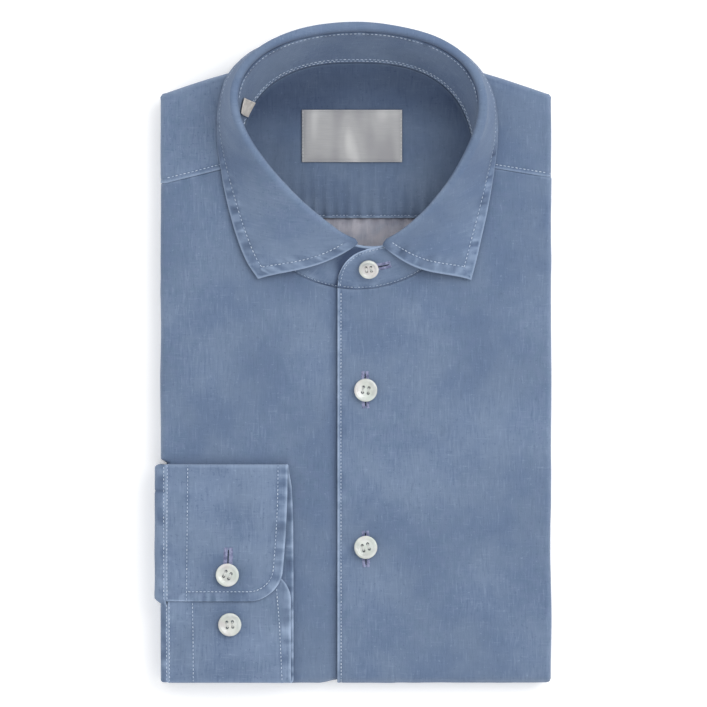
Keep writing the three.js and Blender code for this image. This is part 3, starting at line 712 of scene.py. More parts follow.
# Each stretch of the outline: its neckline angles, its length and its places from 0 to 1
stretches = {
    "lap": (None, 32.7, lambda t: hemEdge(lerp(placket["edgeX"], placket["facingX"], t))),
    "facing": (None, 3.0, lambda t: hemEdge(lerp(placket["facingX"], placket["stepX"], t))),
    "hemRight": ((neckAngleAtX(27), -48), 78, lambda t: hemEdge(lerp(27, pack["right"] - corner, t))),
    "cornerRight": ((-48, -44), 7, lambda t: cornerEdge(
        pack["right"] - corner, pack["bottom"] + corner, lerp(-90, 0, t), t,
        1 - float(smooth(t, 0, 1)), 0)),
    "sideRight": ((-44, 2.3), 274, lambda t: sideEdge(
        pack["right"], lerp(pack["bottom"] + corner, yoke["rightSeamY"], t), 1)),
    "yokeRight": ((2.3, 25), 40,
    lambda t: sideEdge(pack["right"], lerp(yoke["rightSeamY"], shoulder["y"], t), 1)),
    "shoulderRight": ((25, 30), 6,
    lambda t: cornerEdge(shoulder["x"], shoulder["y"], lerp(0, shoulder["angle"], t), t, 0, 1)),
    "fold": ((30, 150), 215, lambda t: shoulderFold(lerp(shoulder["endX"], mirrorX(shoulder["endX"]), t))),
    "shoulderLeft": ((150, 155), 6, lambda t: cornerEdge(
        mirrorX(shoulder["x"]), shoulder["y"], lerp(180 - shoulder["angle"], 180, t), t, 0, 1)),
    "yokeLeft": ((155, 177.7), 44,
    lambda t: sideEdge(pack["left"], lerp(shoulder["y"], yoke["leftSeamY"], t), -1)),
    "sideLeft": ((177.7, 224), 270, lambda t: sideEdge(*sideLeftPlace(t), -1)),
    "cornerLeft": ((224, 228), 7, lambda t: cornerEdge(
        bottomLeft + corner, pack["bottom"] + corner, lerp(180, 270, t), t, float(smooth(t, 0, 1)), 0)),
    "hemLeft": ((228, 360 + neckAngleAtX(placket["edgeX"])), 90, lambda t: hemEdge(
        lerp(bottomLeft + corner, placket["edgeX"], t))),
}


def sideLeftPlace(t):
    y = float(np.interp(t * 11, range(12), sideLeftY))
    return leftEdge(y), y


def stationsOf(names, spacing, startFine=(), endFine=()):
    # Stations along some stretches, closer together near a seam at either end
    stations = []
    for k, name in enumerate(names):
        angles, length, place = stretches[name]
        start = startFine if k == 0 and startFine else [0]
        end = endFine if k == len(names) - 1 and endFine else [0]
        count = max(3, round((length - start[-1] - end[-1]) / spacing))
        shares = rungs(length, start, count, end) / length
        for t in shares if k == len(names) - 1 else shares[:-1]:
            edge = place(t)
            angle = neckAngleAtX(edge[0]) if angles is None else lerp(*angles, t)
            stations.append((edge, angle))
    return stations


def packLine(station, flatShares, rollShares, depthAt, grow, ease=0.0):
    # From the neck seam over the flat of the pack and round its rolled edge
    (ex, ey, nx, ny, deep, back, *pressed), angle = station
    reach, fall = lerp(roll["reach"], roll["reachBottom"], deep), lerp(roll["depth"],
        roll["depthBottom"], deep)
    reach += sum(pressed)
    foot = np.array([ex - reach * nx, ey - reach * ny])
    flat = lerp(neckPoint(angle, grow)[None], foot[None], flatShares[:, None])
    shares = np.concatenate([flatShares, np.ones(len(rollShares))])
    plan = np.concatenate([flat, np.repeat(foot[None], len(rollShares), axis=0)])
    depth = depthAt(plan[:, 0], plan[:, 1], shares, deep)
    turn = np.radians(roll["end"]) * np.concatenate([np.zeros(len(flatShares)), rollShares])
    out = (reach - depth + ease) * np.sin(turn)
    z = topHeight(plan[:, 0], plan[:, 1]) - depth - (fall - depth) * (1 - np.cos(turn))
    return np.stack([plan[:, 0] + out * nx, plan[:, 1] + out * ny, z], axis=1)


panelLook = {
    "spacing": 1.9,
    "rows": 104,
    "rollRows": 12,
    "settle": 0.1,  # the cloth lies this far inside the solid's skin
    "undulation": 0.34,
    "ripple": 0.12,
    "ditch": 0.22,
    "pucker": 0.2,
}

placketStitch = [(-6.6, 34.6), (-6.6, -185)]
yokeStitch = {
    "right": fromPhoto((487, 163), (495, 164.4), (523, 169), (552, 173.6)),
    "left": fromPhoto((160, 179.6), (190, 172.4), (218.9, 164.8), (226, 163)),
}
yokeEdge = {
    "right": fromPhoto((487, 166.4), (552, 177.2)),
    "left": fromPhoto((160, 183.4), (219.5, 170), (226, 168.6)),
}
cuffPlan = (-103.1, -35.9, -180.8, -60.4)


def seamRelief(x, y, path, seed, reach=3.2, inside=0.0):
    # A stitched seam pulls a ditch into the cloth and puckers it on both sides
    away, along = planDistance(x, y, path)
    pull = 0.6 * lattice(along, 0 * along, 3.4, seed) + 0.4 * lattice(along, away, 5.6, seed + 1)
    envelope = bell(away - inside, reach)
    ditch = bell(away, 0.65)
    lift = panelLook["pucker"] * pull * envelope - panelLook["ditch"] * ditch
    # The ditch is darkened with painted shade
    wear = 0.26 * pull * envelope - 0.16 * ditch
    return lift, wear


def calmUnder(x, y):
    # The cloth lies flat under the cuff and the collar
    left, right, low, high = cuffPlan
    inCuff = smooth(x, left - 8, left) * (1 - smooth(x, right, right + 9)) * smooth(y, low - 6,
        low) * (1 - smooth(y, high, high + 9))
    inCollar = smooth(y, 24, 44) * (1 - smooth(np.hypot((x - 2) / 1.0, y - 98), 84, 104))
    return 1 - 0.9 * np.maximum(inCuff, inCollar)


def broadRelief(x, y, seed):
    free = calmUnder(x, y)
    reach = np.hypot(x - neck["x"], y - neck["y"])
    angle = np.degrees(np.arctan2(y - neck["y"], x - neck["x"]))
    fan = lattice(angle, reach / 60, 9, seed + 4) * smooth(reach, 62, 90) * (1 - smooth(reach, 120, 210))
    lift = panelLook["undulation"] * (lattice(x, y, 46, seed) + 0.55 * lattice(x, y, 21, seed + 1))
    lift = lift + panelLook["ripple"] * (lattice(x, y * 0.4, 8, seed + 2)
        + lattice(x * 0.5, y, 9, seed + 3) * 0.7)
    return (lift + 0.3 * fan) * free


def panelPiece(name, node, stretchNames, depthAt, relief, startFine, endFine, rows=None, easeAt=None,
    edgeGlow=0.12):
    rows = rows or panelLook["rows"]
    stations = stationsOf(stretchNames, panelLook["spacing"], startFine, endFine)
    shares = np.concatenate([[0, 0.0012, 0.004], np.linspace(0.01, 1, rows)])
    rolls = np.linspace(0, 1, panelLook["rollRows"] + 1)[1:]
    rolls = np.concatenate([rolls[:-1], [0.975, 0.99, 1]])
    inset = panelLook["settle"] + wall / 2
    # The neck edge goes in under the band
    snug = lambda angle: -0.65 - 0.8 * max(0.0, math.sin(math.radians(angle)))
    ease = lambda s: float(easeAt(s[0][0])) if easeAt else 0.0
    line = lambda s: packLine(
        s, shares, rolls, lambda x, y, share, deep: depthAt(x, y, share, deep) + inset, snug(s[1]), ease(s))
    middle = np.array([line(s) for s in stations])
    lift, wear = relief(middle[..., 0], middle[..., 1])
    # The grain keeps on round the rolled edge
    run = runLength(middle)
    flatRows = len(shares)
    past = run[:, flatRows:] - run[:, flatRows - 1 : flatRows]
    grain = middle.copy()
    ways = np.array([[s[0][2], s[0][3]] for s in stations])
    grain[:, flatRows:, :2] = middle[:, flatRows - 1 : flatRows, :2] + ways[:, None] * past[..., None]
    grain[..., 2] = 0
    # Worn paler where the fold turns over
    turned = np.zeros(middle.shape[:2])
    turned[:, flatRows:] = bell(past - 3.0, 2.2)
    piece, _ = makeCloth(
        name, middle, wall, finishes["denim"], grain, lift=lift, wear=wear + 0.12 * turned, facing=-1,
        edgeGlow=edgeGlow)
    standsFor(node)
    return piece


def leftRelief(x, y):
    lift = broadRelief(x, y, 11)
    wear = 0.03 + 0.1 * lattice(x, y, 30, 61)
    a, b = seamRelief(x, y, placketStitch, 21, 2.6, 0.0)
    edge = bell(x - placket["edgeX"] - 0.6,
        0.75) * (0.5 + 0.3 * lattice(y, 0 * y, 1.1, 64) + 0.15 * lattice(y, 0 * y, 9, 65))
    facing = 0.10 * smooth(x, 22.6, 24.4) * calmUnder(x, y)
    c, d = seamRelief(x, y, yokeEdge["right"], 23, 2.6)
    # The button pulls the cloth round it a little
    for by in (-19.9, -106.3):
        near = bell(np.hypot(x - 7, (y - by) * 0.8), 13)
        lift = lift - 0.35 * near * (0.6 + 0.4
            * lattice(np.degrees(np.arctan2(y - by, x - 7)), 0 * x, 34, 31))
    return lift + a + c - facing, wear + b + edge + d


def rightRelief(x, y):
    lift = broadRelief(x, y, 41)
    wear = 0.02 + 0.1 * lattice(x, y, 30, 62)
    c, d = seamRelief(x, y, yokeEdge["left"], 43, 2.6)
    beside = smooth(x, -14.0, -9.2)  # pressed down along the placket, with painted shadow beside its edge
    # Painted shadow above the cuff's top edge and beside its hem
    aboveCuff = bell(y + 59.0, 3.6) * smooth(x, -104, -101) * (1 - smooth(x, -37, -33))
    besideCuff = bell(np.maximum(x + 33.0, 0), 4.0) * smooth(-y, 62, 72) * (x > -40)
    shade = 0.42 * beside + 0.26 * aboveCuff + 0.2 * besideCuff
    return lift + c - 0.35 * beside, wear + d - shade


def yokeRelief(x, y):
    lift = 0.5 * broadRelief(x, y, 51)
    # Painted shade: darker towards the right, against the stronger light there
    wear = 0.15 - 0.17 * smooth(x, 10, 60) + 0.08 * lattice(x, y, 26, 63)
    for k, key in enumerate(("right", "left")):
        a, b = seamRelief(x, y, yokeStitch[key], 53 + 4 * k, 2.2)
        lift, wear = lift + a, wear + b
    return lift, wear


sheetFine = [0, 0.08, 0.24, 0.5, 0.9, 1.4, 1.9, 2.4, 3.1, 4]
frontLeft = panelPiece(
    "frontLeft", "front_left", ["lap", "facing", "hemRight", "cornerRight", "sideRight"],
    lambda x, y, share, deep: 0 * x, leftRelief, sheetFine, sheetFine,
)
frontRight = panelPiece(
    "frontRight", "front_right", ["sideLeft", "cornerLeft", "hemLeft", "lap"],
    lambda x, y, share, deep: lapDepth(x), rightRelief, sheetFine, (),
    easeAt=lambda x: lapDepth(x) * (1 - smooth(x, -20, -9.5)),
    # the hem comes out as far as the left front's
)
yokeOuter = panelPiece(
    "yokeOuter", "yoke_outer", ["yokeRight", "shoulderRight", "fold", "shoulderLeft", "yokeLeft"],
    lambda x, y, share, deep: -yoke["raise"] * (1 - smooth(share, 0.75, 1)), yokeRelief, sheetFine,
    sheetFine,
    rows=46, edgeGlow=0.4,
)
print("fronts and yoke are laid")


# The folded sides, sleeves and tail under the panels: one rounded stack whose edges show each fold

foldsLook = {
    "spacing": 2.2,
    "waver": 0.45,
    # inset from the outline and height at the sides, then the same at the hem fold
    "edge": [
        (3.1, 9.3, 4.1, 3.3), (3.0, 8.7, 4.15, 3.1), (2.2, 8.55, 4.2, 2.9), (1.0, 8.2, 4.2, 2.7),
        (0.55, 7.4, 4.2, 2.5),
        (0.5, 6.5, 4.25, 2.3), (0.55, 5.7, 4.25, 2.1), (1.0, 4.9, 4.3, 1.9), (2.2, 4.45, 4.3, 1.7),
        (3.0, 4.25, 4.3, 1.5),
        (2.4, 4.05, 4.3, 1.3), (1.1, 3.8, 4.3, 1.1), (0.7, 3.2, 4.3, 0.9), (0.65, 2.4, 4.3, 0.7),
        (0.8, 1.5, 4.3, 0.5),
        (1.2, 0.7, 4.35, 0.3), (1.9, 0.2, 4.5, 0.1), (2.8, 0.0, 4.8, 0.0),
    ],
    "shade": [0.18, 0.1, 0.05, 0.03, 0.03, 0.03, 0, 0.05, 0.15, 0.23, 0.15, 0.03, 0.03, 0.03, 0, 0, 0, 0],
    "setback": 5.0,
}


def crossing(line, reach):
    # Where each step of a closed line crosses the step that comes reach later, as a share of it
    cross = lambda p, q: p[:, 0] * q[:, 1] - p[:, 1] * q[:, 0]
    a = line[:, :2]
    r = np.roll(a, -1, axis=0) - a
    c, t = np.roll(a, -reach, axis=0) - a, np.roll(r, -reach, axis=0)
    bottom = cross(r, t)
    bottom = np.where(np.abs(bottom) < 1e-9, 1e-9, bottom)
    first, second = cross(c, t) / bottom, cross(c, r) / bottom
    hits = (first > 0) & (first < 1) & (second > 0) & (second < 1)
    return np.flatnonzero(hits), first


def unlooped(line):
    # A line set in from a corner can cross itself: the loop is cut off and its points are spread out again
    for _ in range(12):
        for reach in range(90, 1, -1):
            hits, shares = crossing(line, reach)
            if len(hits):
                break
        if not len(hits):
            return line
        i, spread = hits[0], reach // 2 + 5
        line = np.roll(line, spread - i, axis=0)
        meet = lerp(line[spread], line[spread + 1], shares[i])
        count = reach + 2 + 2 * spread
        path = np.concatenate([line[: spread + 1], [meet], line[spread + reach + 1 : count]])
        line[:count] = resample(path, np.linspace(0, runLength(path[None])[0][-1], count))
        line = np.roll(line, i - spread, axis=0)
    return line


def turnedOnce(line):
    # Moves a closed line's points round just enough that it never doubles back as seen from its middle
    middle = line.mean(0)
    away = (line - middle)[:, :2]
    turn = np.unwrap(np.arctan2(away[:, 1], away[:, 0]))
    way = math.copysign(1, turn[-1] - turn[0])
    most = np.maximum.accumulate(turn * way)
    least = np.minimum.accumulate((turn * way)[::-1])[::-1]
    even = ((most + least) / 2 + 1e-6 * np.arange(len(line))) * way
    radius = np.linalg.norm(away, axis=1)
    return np.stack([middle[0] + radius * np.cos(even), middle[1] + radius * np.sin(even), line[:, 2]], 1)


def foldedLayers():
    names = list(stretches)
    stations = stationsOf(names, foldsLook["spacing"])[:-1]
    shares = np.linspace(0, 1, 12)
    rolls = np.linspace(0, 1, 9)[1:]
    rim = [lerp(3.2, 0.5, float(smooth(math.sin(math.radians(a)), 0.2, 0.7))) for _, a in stations]

    def depthAt(x, y, share, deep):
        slack = smooth(share, 0.8, 1) * (0.08 + 0.6 * deep * (1 - deep))
        stepped = np.clip((x - placket["stepFromX"]) / (placket["stepX"] - placket["stepFromX"]), 0, 1)
        under = np.where(x <= placket["stepFromX"], lapDepth(x) + layer, lerp(2 * layer, layer, stepped))
        return under + slack + 0.05

    lines = []
    run = 0.0
    before = None
    for (edge, angle), grow in zip(stations, rim):
        ex, ey, nx, ny, deep, back = edge[:6]
        here = np.array([ex, ey])
        run += 0 if before is None else float(np.linalg.norm(here - before))
        before = here
        well = [[*neckPoint(angle, grow + g), 7.0] for g in (-7, -3.5, -0.7)]
        cover = packLine((edge, angle), shares, rolls, depthAt, grow)
        lower = []
        for k, (inset, z, hemInset, hemZ) in enumerate(foldsLook["edge"]):
            shift = foldsLook["waver"] * float(lattice(run, k * 4.0, 17, 71)) + 0.2 * float(lattice(run,
                k * 4.0, 6, 72))
            free = lerp(inset + foldsLook["setback"] * back + max(0.0, shift),
                hemInset + 0.25 * abs(shift), deep)
            height = lerp(z, hemZ, deep)
            height += 0 if k in (0, len(foldsLook["edge"]) - 1) else 0.3 * (1
                - deep) * float(lattice(run, 0, 26, 73)) * min(1, z / 2)
            lower.append([ex - free * nx, ey - free * ny, max(0.0, height)])
        lines.append(np.concatenate([well, cover, lower]))
    grid = np.array(lines)
    folds = len(foldsLook["edge"])
    for k in range(1, folds + 1):
        grid[:, -k] = unlooped(grid[:, -k])
    grid[:, -1] = turnedOnce(grid[:, -1])
    # The underside is its own row, so that its cloth lies straight
    base = grid[:, -1:]
    toMiddle = unit(base.mean(0, keepdims=True) - base)
    grid = np.concatenate([grid, base + toMiddle * 0.4], axis=1)
    n, m = grid.shape[:2]
    index = np.arange(n * m).reshape(n, m)
    side = np.concatenate([index, index[:1]])
    quads = np.stack([side[:-1, :-1], side[:-1, 1:], side[1:, 1:], side[1:, :-1]], -1).reshape(-1,
        4).tolist()
    points = np.concatenate([grid.reshape(-1, 3), [grid[:, 0].mean(0)], [grid[:, -1].mean(0)]])
    for i in range(n):
        j = (i + 1) % n
        quads.append([n * m, int(index[i, 0]), int(index[j, 0])])
        quads.append([n * m + 1, int(index[j, -1]), int(index[i, -1])])
    piece = makeObject("foldedLayers", points, quads, finishes["denim"])
    down = runLength(grid)
    grain = np.stack([down, np.repeat(np.arange(n)[:, None] * foldsLook["spacing"], m, axis=1),
        0 * down], -1)
    grain[:, -1] = grid[:, -1] * (1, 1, 0)
    # Painted shade where the folded edges tuck under the panels and in the recesses between them
    depth = np.zeros(m)
    depth[-folds - 1 : -1] = foldsLook["shade"]
    wear = np.concatenate([np.tile(-depth, n), [0, 0]])
    tag(piece, np.concatenate([grain.reshape(-1, 3), [[0, 0, 0], grid[:, -1].mean(0)]]), wear)
    standsFor("folded_layers")
    return piece


foldedPiece = foldedLayers()


# Inside the neck: the inner yoke gathered onto the back, which shows its wrong side

insideLook = {
    "floor": 10.0,
    "rim": 16.8,
    "start": 0.72,
    "inset": 1.0,
    "gather": 0.75,
    "gatherPitch": 6.5,
    "gatherReach": 12.0,
    "seamX": (60.0, -56.0),
    "angles": (-18.0, 198.0),
}


def insideHeight(x, y):
    power = np.where(y > neck["y"], neck["backSquare"], 2.0)
    across = np.abs(x - neck["x"]) / (neck["halfWidth"] - insideLook["inset"])
    along = np.abs(y - neck["y"]) / (neck["halfLength"] - insideLook["inset"])
    share = (across**power + along**power) ** (1 / power)
    return lerp(insideLook["floor"], insideLook["rim"], smooth(share, insideLook["start"], 1))


def gathers(x, y):
    # Irregular tucks that start at the seam and die out upwards
    fade = np.exp(-np.maximum(0, y - yoke["innerSeamY"]) / insideLook["gatherReach"])
    fade = fade * (1 - smooth(np.abs(x - 2), 36, 50))
    bent = x + 2.6 * lattice(x, 0 * x, 11, 81)
    tuck = np.cos(2 * math.pi * bent / insideLook["gatherPitch"]) * 0.6 + lattice(x, y * 0.3, 4.5, 82) * 0.7
    return insideLook["gather"] * fade * tuck


def yokeInner():
    columns = np.linspace(0, 1, 150)
    shares = np.concatenate([[0, 0.0012, 0.004, 0.009, 0.016, 0.025, 0.036], np.linspace(0.05, 0.985, 48),
        [0.993, 0.998, 1]])
    right, left = insideLook["seamX"]
    lines = []
    for t in columns:
        angle = lerp(*insideLook["angles"], t)
        rimX, rimY = neckPoint(angle, -insideLook["inset"] - 0.6 * max(0.0, math.sin(math.radians(angle))))
        x, y = lerp(lerp(right, left, t), rimX, shares), lerp(yoke["innerSeamY"], rimY, shares)
        lines.append(np.stack([x, y, insideHeight(x, y) - 0.6], -1))
    middle = np.array(lines)
    x, y = middle[..., 0], middle[..., 1]
    lift = 0.3 + gathers(x, y) + 0.5 * lattice(x, y, 32, 83) * smooth(y, 76, 84)
    a, b = seamRelief(x, y, [(-56, 76.6), (60, 76.6)], 84, 2.0)
    grain = np.stack([x, y, 0 * x], -1)
    # Painted light and shade on the gathers: paler on the tucks and darker between them
    wear = b + 0.2 * gathers(x, y) / insideLook["gather"] + 0.1 * lattice(x, y, 24, 85)
    # Painted light and shade: lighter low down, where light gets in, and painted shade up under the collar
    # and towards the sides
    wear = wear + 0.1 - 0.24 * smooth(y, 96, 118) - 0.56 * smooth(y, 118,
        142) - 0.2 * smooth(np.abs(x - 2), 44, 58)
    piece, _ = makeCloth("yokeInner", middle, wall, finishes["denimInside"], grain, lift=lift + a,
        wear=wear, facing=-1)
    standsFor("yoke_inner")
    return piece


def backPanel():
    xs = np.linspace(-44, 48, 110)
    ys = np.concatenate([[40, 40.1, 40.3, 40.8], np.linspace(41.6, 87, 48), [87.4, 87.7, 87.8]])
    spread = np.interp(ys, [40, 58, 74.8, 88], [0.55, 0.85, 1, 1])
    x = lerp(neck["x"], xs[:, None], spread[None])
    y = np.repeat(ys[None], len(xs), axis=0)
    middle = np.stack([x, y, 0 * x + 8.5 - 0.6], -1)
    below = np.exp(-np.maximum(0, yoke["innerSeamY"] - y) / 16)
    bent = x + 2.2 * lattice(x, 0 * x, 12, 91)
    tuck = np.cos(2 * math.pi * bent / 7.5) * 0.5 + lattice(x, y * 0.25, 5.5, 92) * 0.7
    lift = 0.1 + 0.35 * below * tuck + 0.4 * lattice(x, y, 18, 93) * smooth(74 - y, 0, 10)
    # Painted light and shade on the tucks, and painted shade along the seam
    wear = 0.22 * below * tuck + 0.2 * lattice(x, y, 13, 94) - 0.35 * bell(y - yoke["innerSeamY"], 3.0)
    piece, _ = makeCloth("backPanel", middle, 0.8, finishes["wrongSide"], middle * (1, 1, 0), lift=lift,
        wear=wear, facing=1)
    standsFor("back")
    return piece


innerPiece = yokeInner()
backPiece = backPanel()


# The woven label lies bare on the inner yoke

labelLook = {"left": -28.2, "right": 27.1, "bottom": 105.7, "top": 134.6, "wall": 0.8, "border": 1.1}


def neckLabel():
    look = labelLook
    xs = rungs(look["right"] - look["left"], [0, 0.1, 0.3, 0.6, 1.0, 1.4], 44,
        [0, 0.1, 0.3, 0.6, 1.0, 1.4]) + look["left"]
    ys = rungs(look["top"] - look["bottom"], [0, 0.1, 0.3, 0.6, 1.0, 1.4], 24,
        [0, 0.1, 0.3, 0.6, 1.0, 1.4]) + look["bottom"]
    x, y = np.repeat(xs[:, None], len(ys), axis=1), np.repeat(ys[None], len(xs), axis=0)
    middle = np.stack([x, y, insideHeight(x, y) + 0.6 + 0.5], -1)
    away = np.minimum(np.minimum(x - look["left"], look["right"] - x),
        np.minimum(y - look["bottom"], look["top"] - y))
    lift = 0.16 * lattice(x, y, 14, 101) + 0.12 * lattice(x, y, 5, 102) * bell(away,
        3) - 0.14 * bell(away - look["border"], 0.4)
    wear = 0.35 * bell(away - look["border"], 0.35) + 0.2 * bell(away, 0.35)
    piece, _ = makeCloth("neckLabel", middle, look["wall"], finishes["satin"], middle * (1, 1, 0),
        lift=lift, wear=wear, facing=1, edgeGlow=0)
    standsFor("neck_label")
    return piece


labelPiece = neckLabel()
print("inner yoke, back and label are in")


# The collar: a standing band, and the leaf that folds over it

band = {
    "x": 2.2, "y": 119.5, "halfWidth": 63.5, "halfLength": 58.5, "backWiden": 18.5, "squash": 2.0,
    "frontShift": 8.0, "frontTurn": 10.0, "frontZ": 29.5, "backZ": 47.0, "rise": 2.2, "footInset": 0.7,
    "backInset": 0.9,
    "over": -99.4, "overRadius": 29.0, "overShare": 0.2, "under": 294.0, "underRadius": 12.0,
    "underShare": 0.3, "wall": 1.05,
}
leaf = {
    "foldRadius": 1.9, "stem": 2.6, "start": 0.5, "rest": 1.7, "wall": 1.1, "stitchAway": 6.0,
    "cutBack": 3.0,  # the fold's ends run back this far, so that each front edge starts at a point
    "bow": (2.5, 3.5),  # how far the two front edges bow out
}


def bandTop(angle):
    front = (1 - math.sin(math.radians(angle))) / 2
    a = math.radians(angle - band["frontTurn"] * front**2)
    wide = band["halfWidth"] + band["backWiden"] * math.sin(a)
    return np.array([
        band["x"] + band["frontShift"] * front**2.5 + wide * math.cos(a),
        band["y"] + band["halfLength"] * math.sin(a) + band["squash"] * math.cos(2 * a),
        lerp(band["frontZ"], band["backZ"], 1 - front ** band["rise"]),
    ])


def bandFrame(angle):
    back = max(0.0, math.sin(math.radians(angle)))
    x, y = neckPoint(angle, -band["footInset"] - band["backInset"] * back)
    under = float(lapDepth(x)) / layer if angle > 180 else 0.0
    low = np.array([x, y, float(topHeight(x, y)) - 0.6 - under * layer * 1.2])
    high = bandTop(angle)
    up = unit(high - low)
    around = unit(bandTop(angle + 0.5) - bandTop(angle - 0.5))
    out = -unit(np.cross(up, around))
    return low, high - out * under * layer * 1.3, up, out


def tipShare(angle):
    end = "over" if angle < 90 else "under"
    along = math.radians(abs(angle - band[end])) * 64.75
    radius, share = band[end + "Radius"], band[end + "Share"]
    return 1.0 if along >= radius else lerp(share, 1, math.sqrt(1 - (1 - along / radius) ** 2))


def bandPoint(angle, share, proud=0.0):
    low, high, _, out = bandFrame(angle)
    return lerp(low, high, share) + out * proud, out


def collarBand():
    span = band["under"] - band["over"]
    fine = [0, 0.07, 0.25, 0.6, 1.1, 1.8, 2.7, 3.8, 5, 6.5, 8, 10]
    angles = rungs(span, fine, 230, fine) + band["over"]
    lines = []
    for angle in angles:
        low, high, up, _ = bandFrame(angle)
        height = np.linalg.norm(high - low) * tipShare(angle)
        places = rungs(height, [0, 0.08, 0.25, 0.55, 1.0, 1.6, 2.3], 12,
            [0, 0.08, 0.25, 0.55, 1.0, 1.6, 2.3])
        lines.append(low + up * places[:, None])
    middle = np.array(lines)
    along = runLength(middle.transpose(1, 0, 2)).T
    up = runLength(middle)
    away = edgeDistance(middle)
    pull = lattice(along, up * 0.4, 4.6, 111)
    nearEdge = bell(away - 1.6, 1.6)
    # The stitch ditches near the edges are darkened with painted shade
    wear = 0.45 * pull * nearEdge + 0.1 * lattice(along, up, 20, 113) - 0.12 * bell(away - 1.5, 0.5)
    grain = np.stack([up, along, 0 * up], -1)
    # Painted shade along the seam at the foot all round, and at the top where the leaf is sewn on
    turn = angles[:, None]
    top = up[:, -1:] - up
    free = np.maximum(1 - smooth(turn, -66, -50), smooth(turn, 250, 262))
    lift = (0.2 - 0.1 * free) * pull * nearEdge + 0.3 * (1 - free) * lattice(along, up, 24,
        112) * smooth(up, 1, 6)
    lift = lift - 0.16 * bell(away - 1.5, 0.5)
    seam = bell(up - 0.6, 0.7) * (0.5 + 0.35 * lattice(along, 0 * along, 5, 114)) + bell(top,
        0.8) * (1 - free) * 0.6
    # Painted shadow on the button end where the other end stands over it
    tip = [tuple(bandPoint(a, tipShare(a))[0][:2]) for a in np.linspace(band["over"], -62, 24)]
    tip = [tuple(bandPoint(band["over"], 0.0)[0][:2])] + tip
    near, _ = planDistance(middle[..., 0], middle[..., 1], tip)
    behind = bell(near, lerp(1.5, 6.5, smooth(middle[..., 1], 42, 54))) * (turn > 200) * smooth(away,
        0.9, 1.6)
    wear = wear - seam - 1.3 * behind
    piece, _ = makeCloth(
        "collarBand", middle, band["wall"], finishes["denimCollar"], grain, lift=lift, wear=wear,
        edgeGlow=np.where(turn > 200, 0.45, 0.8) * free * smooth(up, 0.6, 1.8))
    standsFor("collar_band")
    return piece


# The leaf's outer edge: neck angle, x, y, height (0 rests on the pack) and how far it falls straight first
leafEdge = np.array([
    (270.5, -52.2, 41.2, 0, 4), (255, -58.3, 50.5, 0, 5), (238, -63.2, 62.5, 0, 6), (218, -68.2, 80, 0, 7),
    (200, -72, 99, 0, 8), (180, -74.4, 119, 0, 9), (160, -73.2, 139, 0, 10), (145, -67.8, 154, 20.2, 12),
    (128, -54, 167, 14.5, 14), (110, -30, 174.5, 10.5, 16), (90, 1.5, 177, 9.2, 16),
    (70, 33, 174.5, 10.5, 16),
    (52, 57, 167, 14.5, 14), (35, 71, 154, 20.2, 12), (20, 77.6, 139, 0, 10), (0, 79.2, 119, 0, 9),
    (-20, 77, 99, 0, 8), (-38, 74, 80, 0, 7), (-56, 70.3, 62.5, 0, 6), (-69, 67.6, 50.5, 0, 5),
    (-72, 64.9, 40.6, 0, 4),
], float)
edgeKnots = leafEdge[:, 1:4].copy()
restHeights = topHeight(edgeKnots[:, 0], edgeKnots[:, 1]) + leaf["rest"]
edgeKnots[:, 2] = np.where(edgeKnots[:, 2] == 0, restHeights, edgeKnots[:, 2])
turnKnots = np.stack([leafEdge[:, 0], leafEdge[:, 4], 0 * leafEdge[:, 0]], 1)


def through(knots, t):
    # A centripetal spline through the knots, with t spread evenly over them
    last = len(knots) - 1
    place = t * last
    k = min(int(place), last - 1)
    w = place - k
    p1, p2 = knots[k], knots[k + 1]
    p0 = knots[k - 1] if k > 0 else 2 * p1 - p2
    p3 = knots[k + 2] if k + 2 <= last else 2 * p2 - p1
    d0, d1, d2 = (max(float(np.sum((b - a) ** 2)) ** 0.25, 1e-4) for a, b in ((p0, p1), (p1, p2), (p2, p3)))
    m1 = ((p1 - p0) / d0 - (p2 - p0) / (d0 + d1) + (p2 - p1) / d1) * d1
    m2 = ((p2 - p1) / d1 - (p3 - p1) / (d1 + d2) + (p3 - p2) / d2) * d1
    c2, c3 = -3 * p1 + 3 * p2 - 2 * m1 - m2, 2 * p1 - 2 * p2 + m1 + m2
    return p1 + m1 * w + c2 * w**2 + c3 * w**3


def leafLine(t):
    # Up from the band, round the fold and down to the outer edge
    angle, pull, _ = through(turnKnots, t)
    end = through(edgeKnots, t)
    _, high, up, out = bandFrame(angle)
    knots = min(t, 1 - t) * (len(leafEdge) - 1)
    endShare = 1 - float(smooth(knots, 0, 2.2))
    radius, stem = leaf["foldRadius"] * (1 - 0.5 * endShare), leaf["stem"] * (1 - 0.5 * endShare)
    centre = high + up * stem + out * radius
    turn = np.linspace(math.pi, 0, 15)[:, None]
    fold = centre + radius * (out * np.cos(turn) + up * np.sin(turn))
    start = fold[-1]
    b, c = start - up * pull, end + (start - end) * 0.4 + out * 1.5
    s = np.linspace(0, 1, 40)[1:, None]
    fall = start * (1 - s) ** 3 + 3 * b * s * (1 - s) ** 2 + 3 * c * s**2 * (1 - s) + end * s**3
    line = np.concatenate([[high + up * leaf["start"]], fold, fall])
    crest = float(runLength(line[None, :9])[0][-1])
    # Run the fold back at its ends, and bow the front edges out
    back = unit(bandTop(angle + 0.5) - bandTop(angle - 0.5)) * (-1 if t < 0.5 else 1)
    inner = np.concatenate([np.linspace(1, 0, 16), np.zeros(39)])[:, None]
    line = line + back * inner * leaf["cutBack"] * (1 - float(smooth(knots, 0, 1.7)))
    chord = unit(np.array([*(end - start)[:2], 0.0]))
    front = -unit(back * (1, 1, 0) - chord * float(np.dot(back, chord)))
    bulge = np.concatenate([np.zeros(16), np.sin(math.pi * s[:, 0] ** 1.2) ** 2])[:, None]
    line = line + front * bulge * leaf["bow"][0 if t < 0.5 else 1] * (1 - float(smooth(knots, 0, 3.0)))
    return line, crest


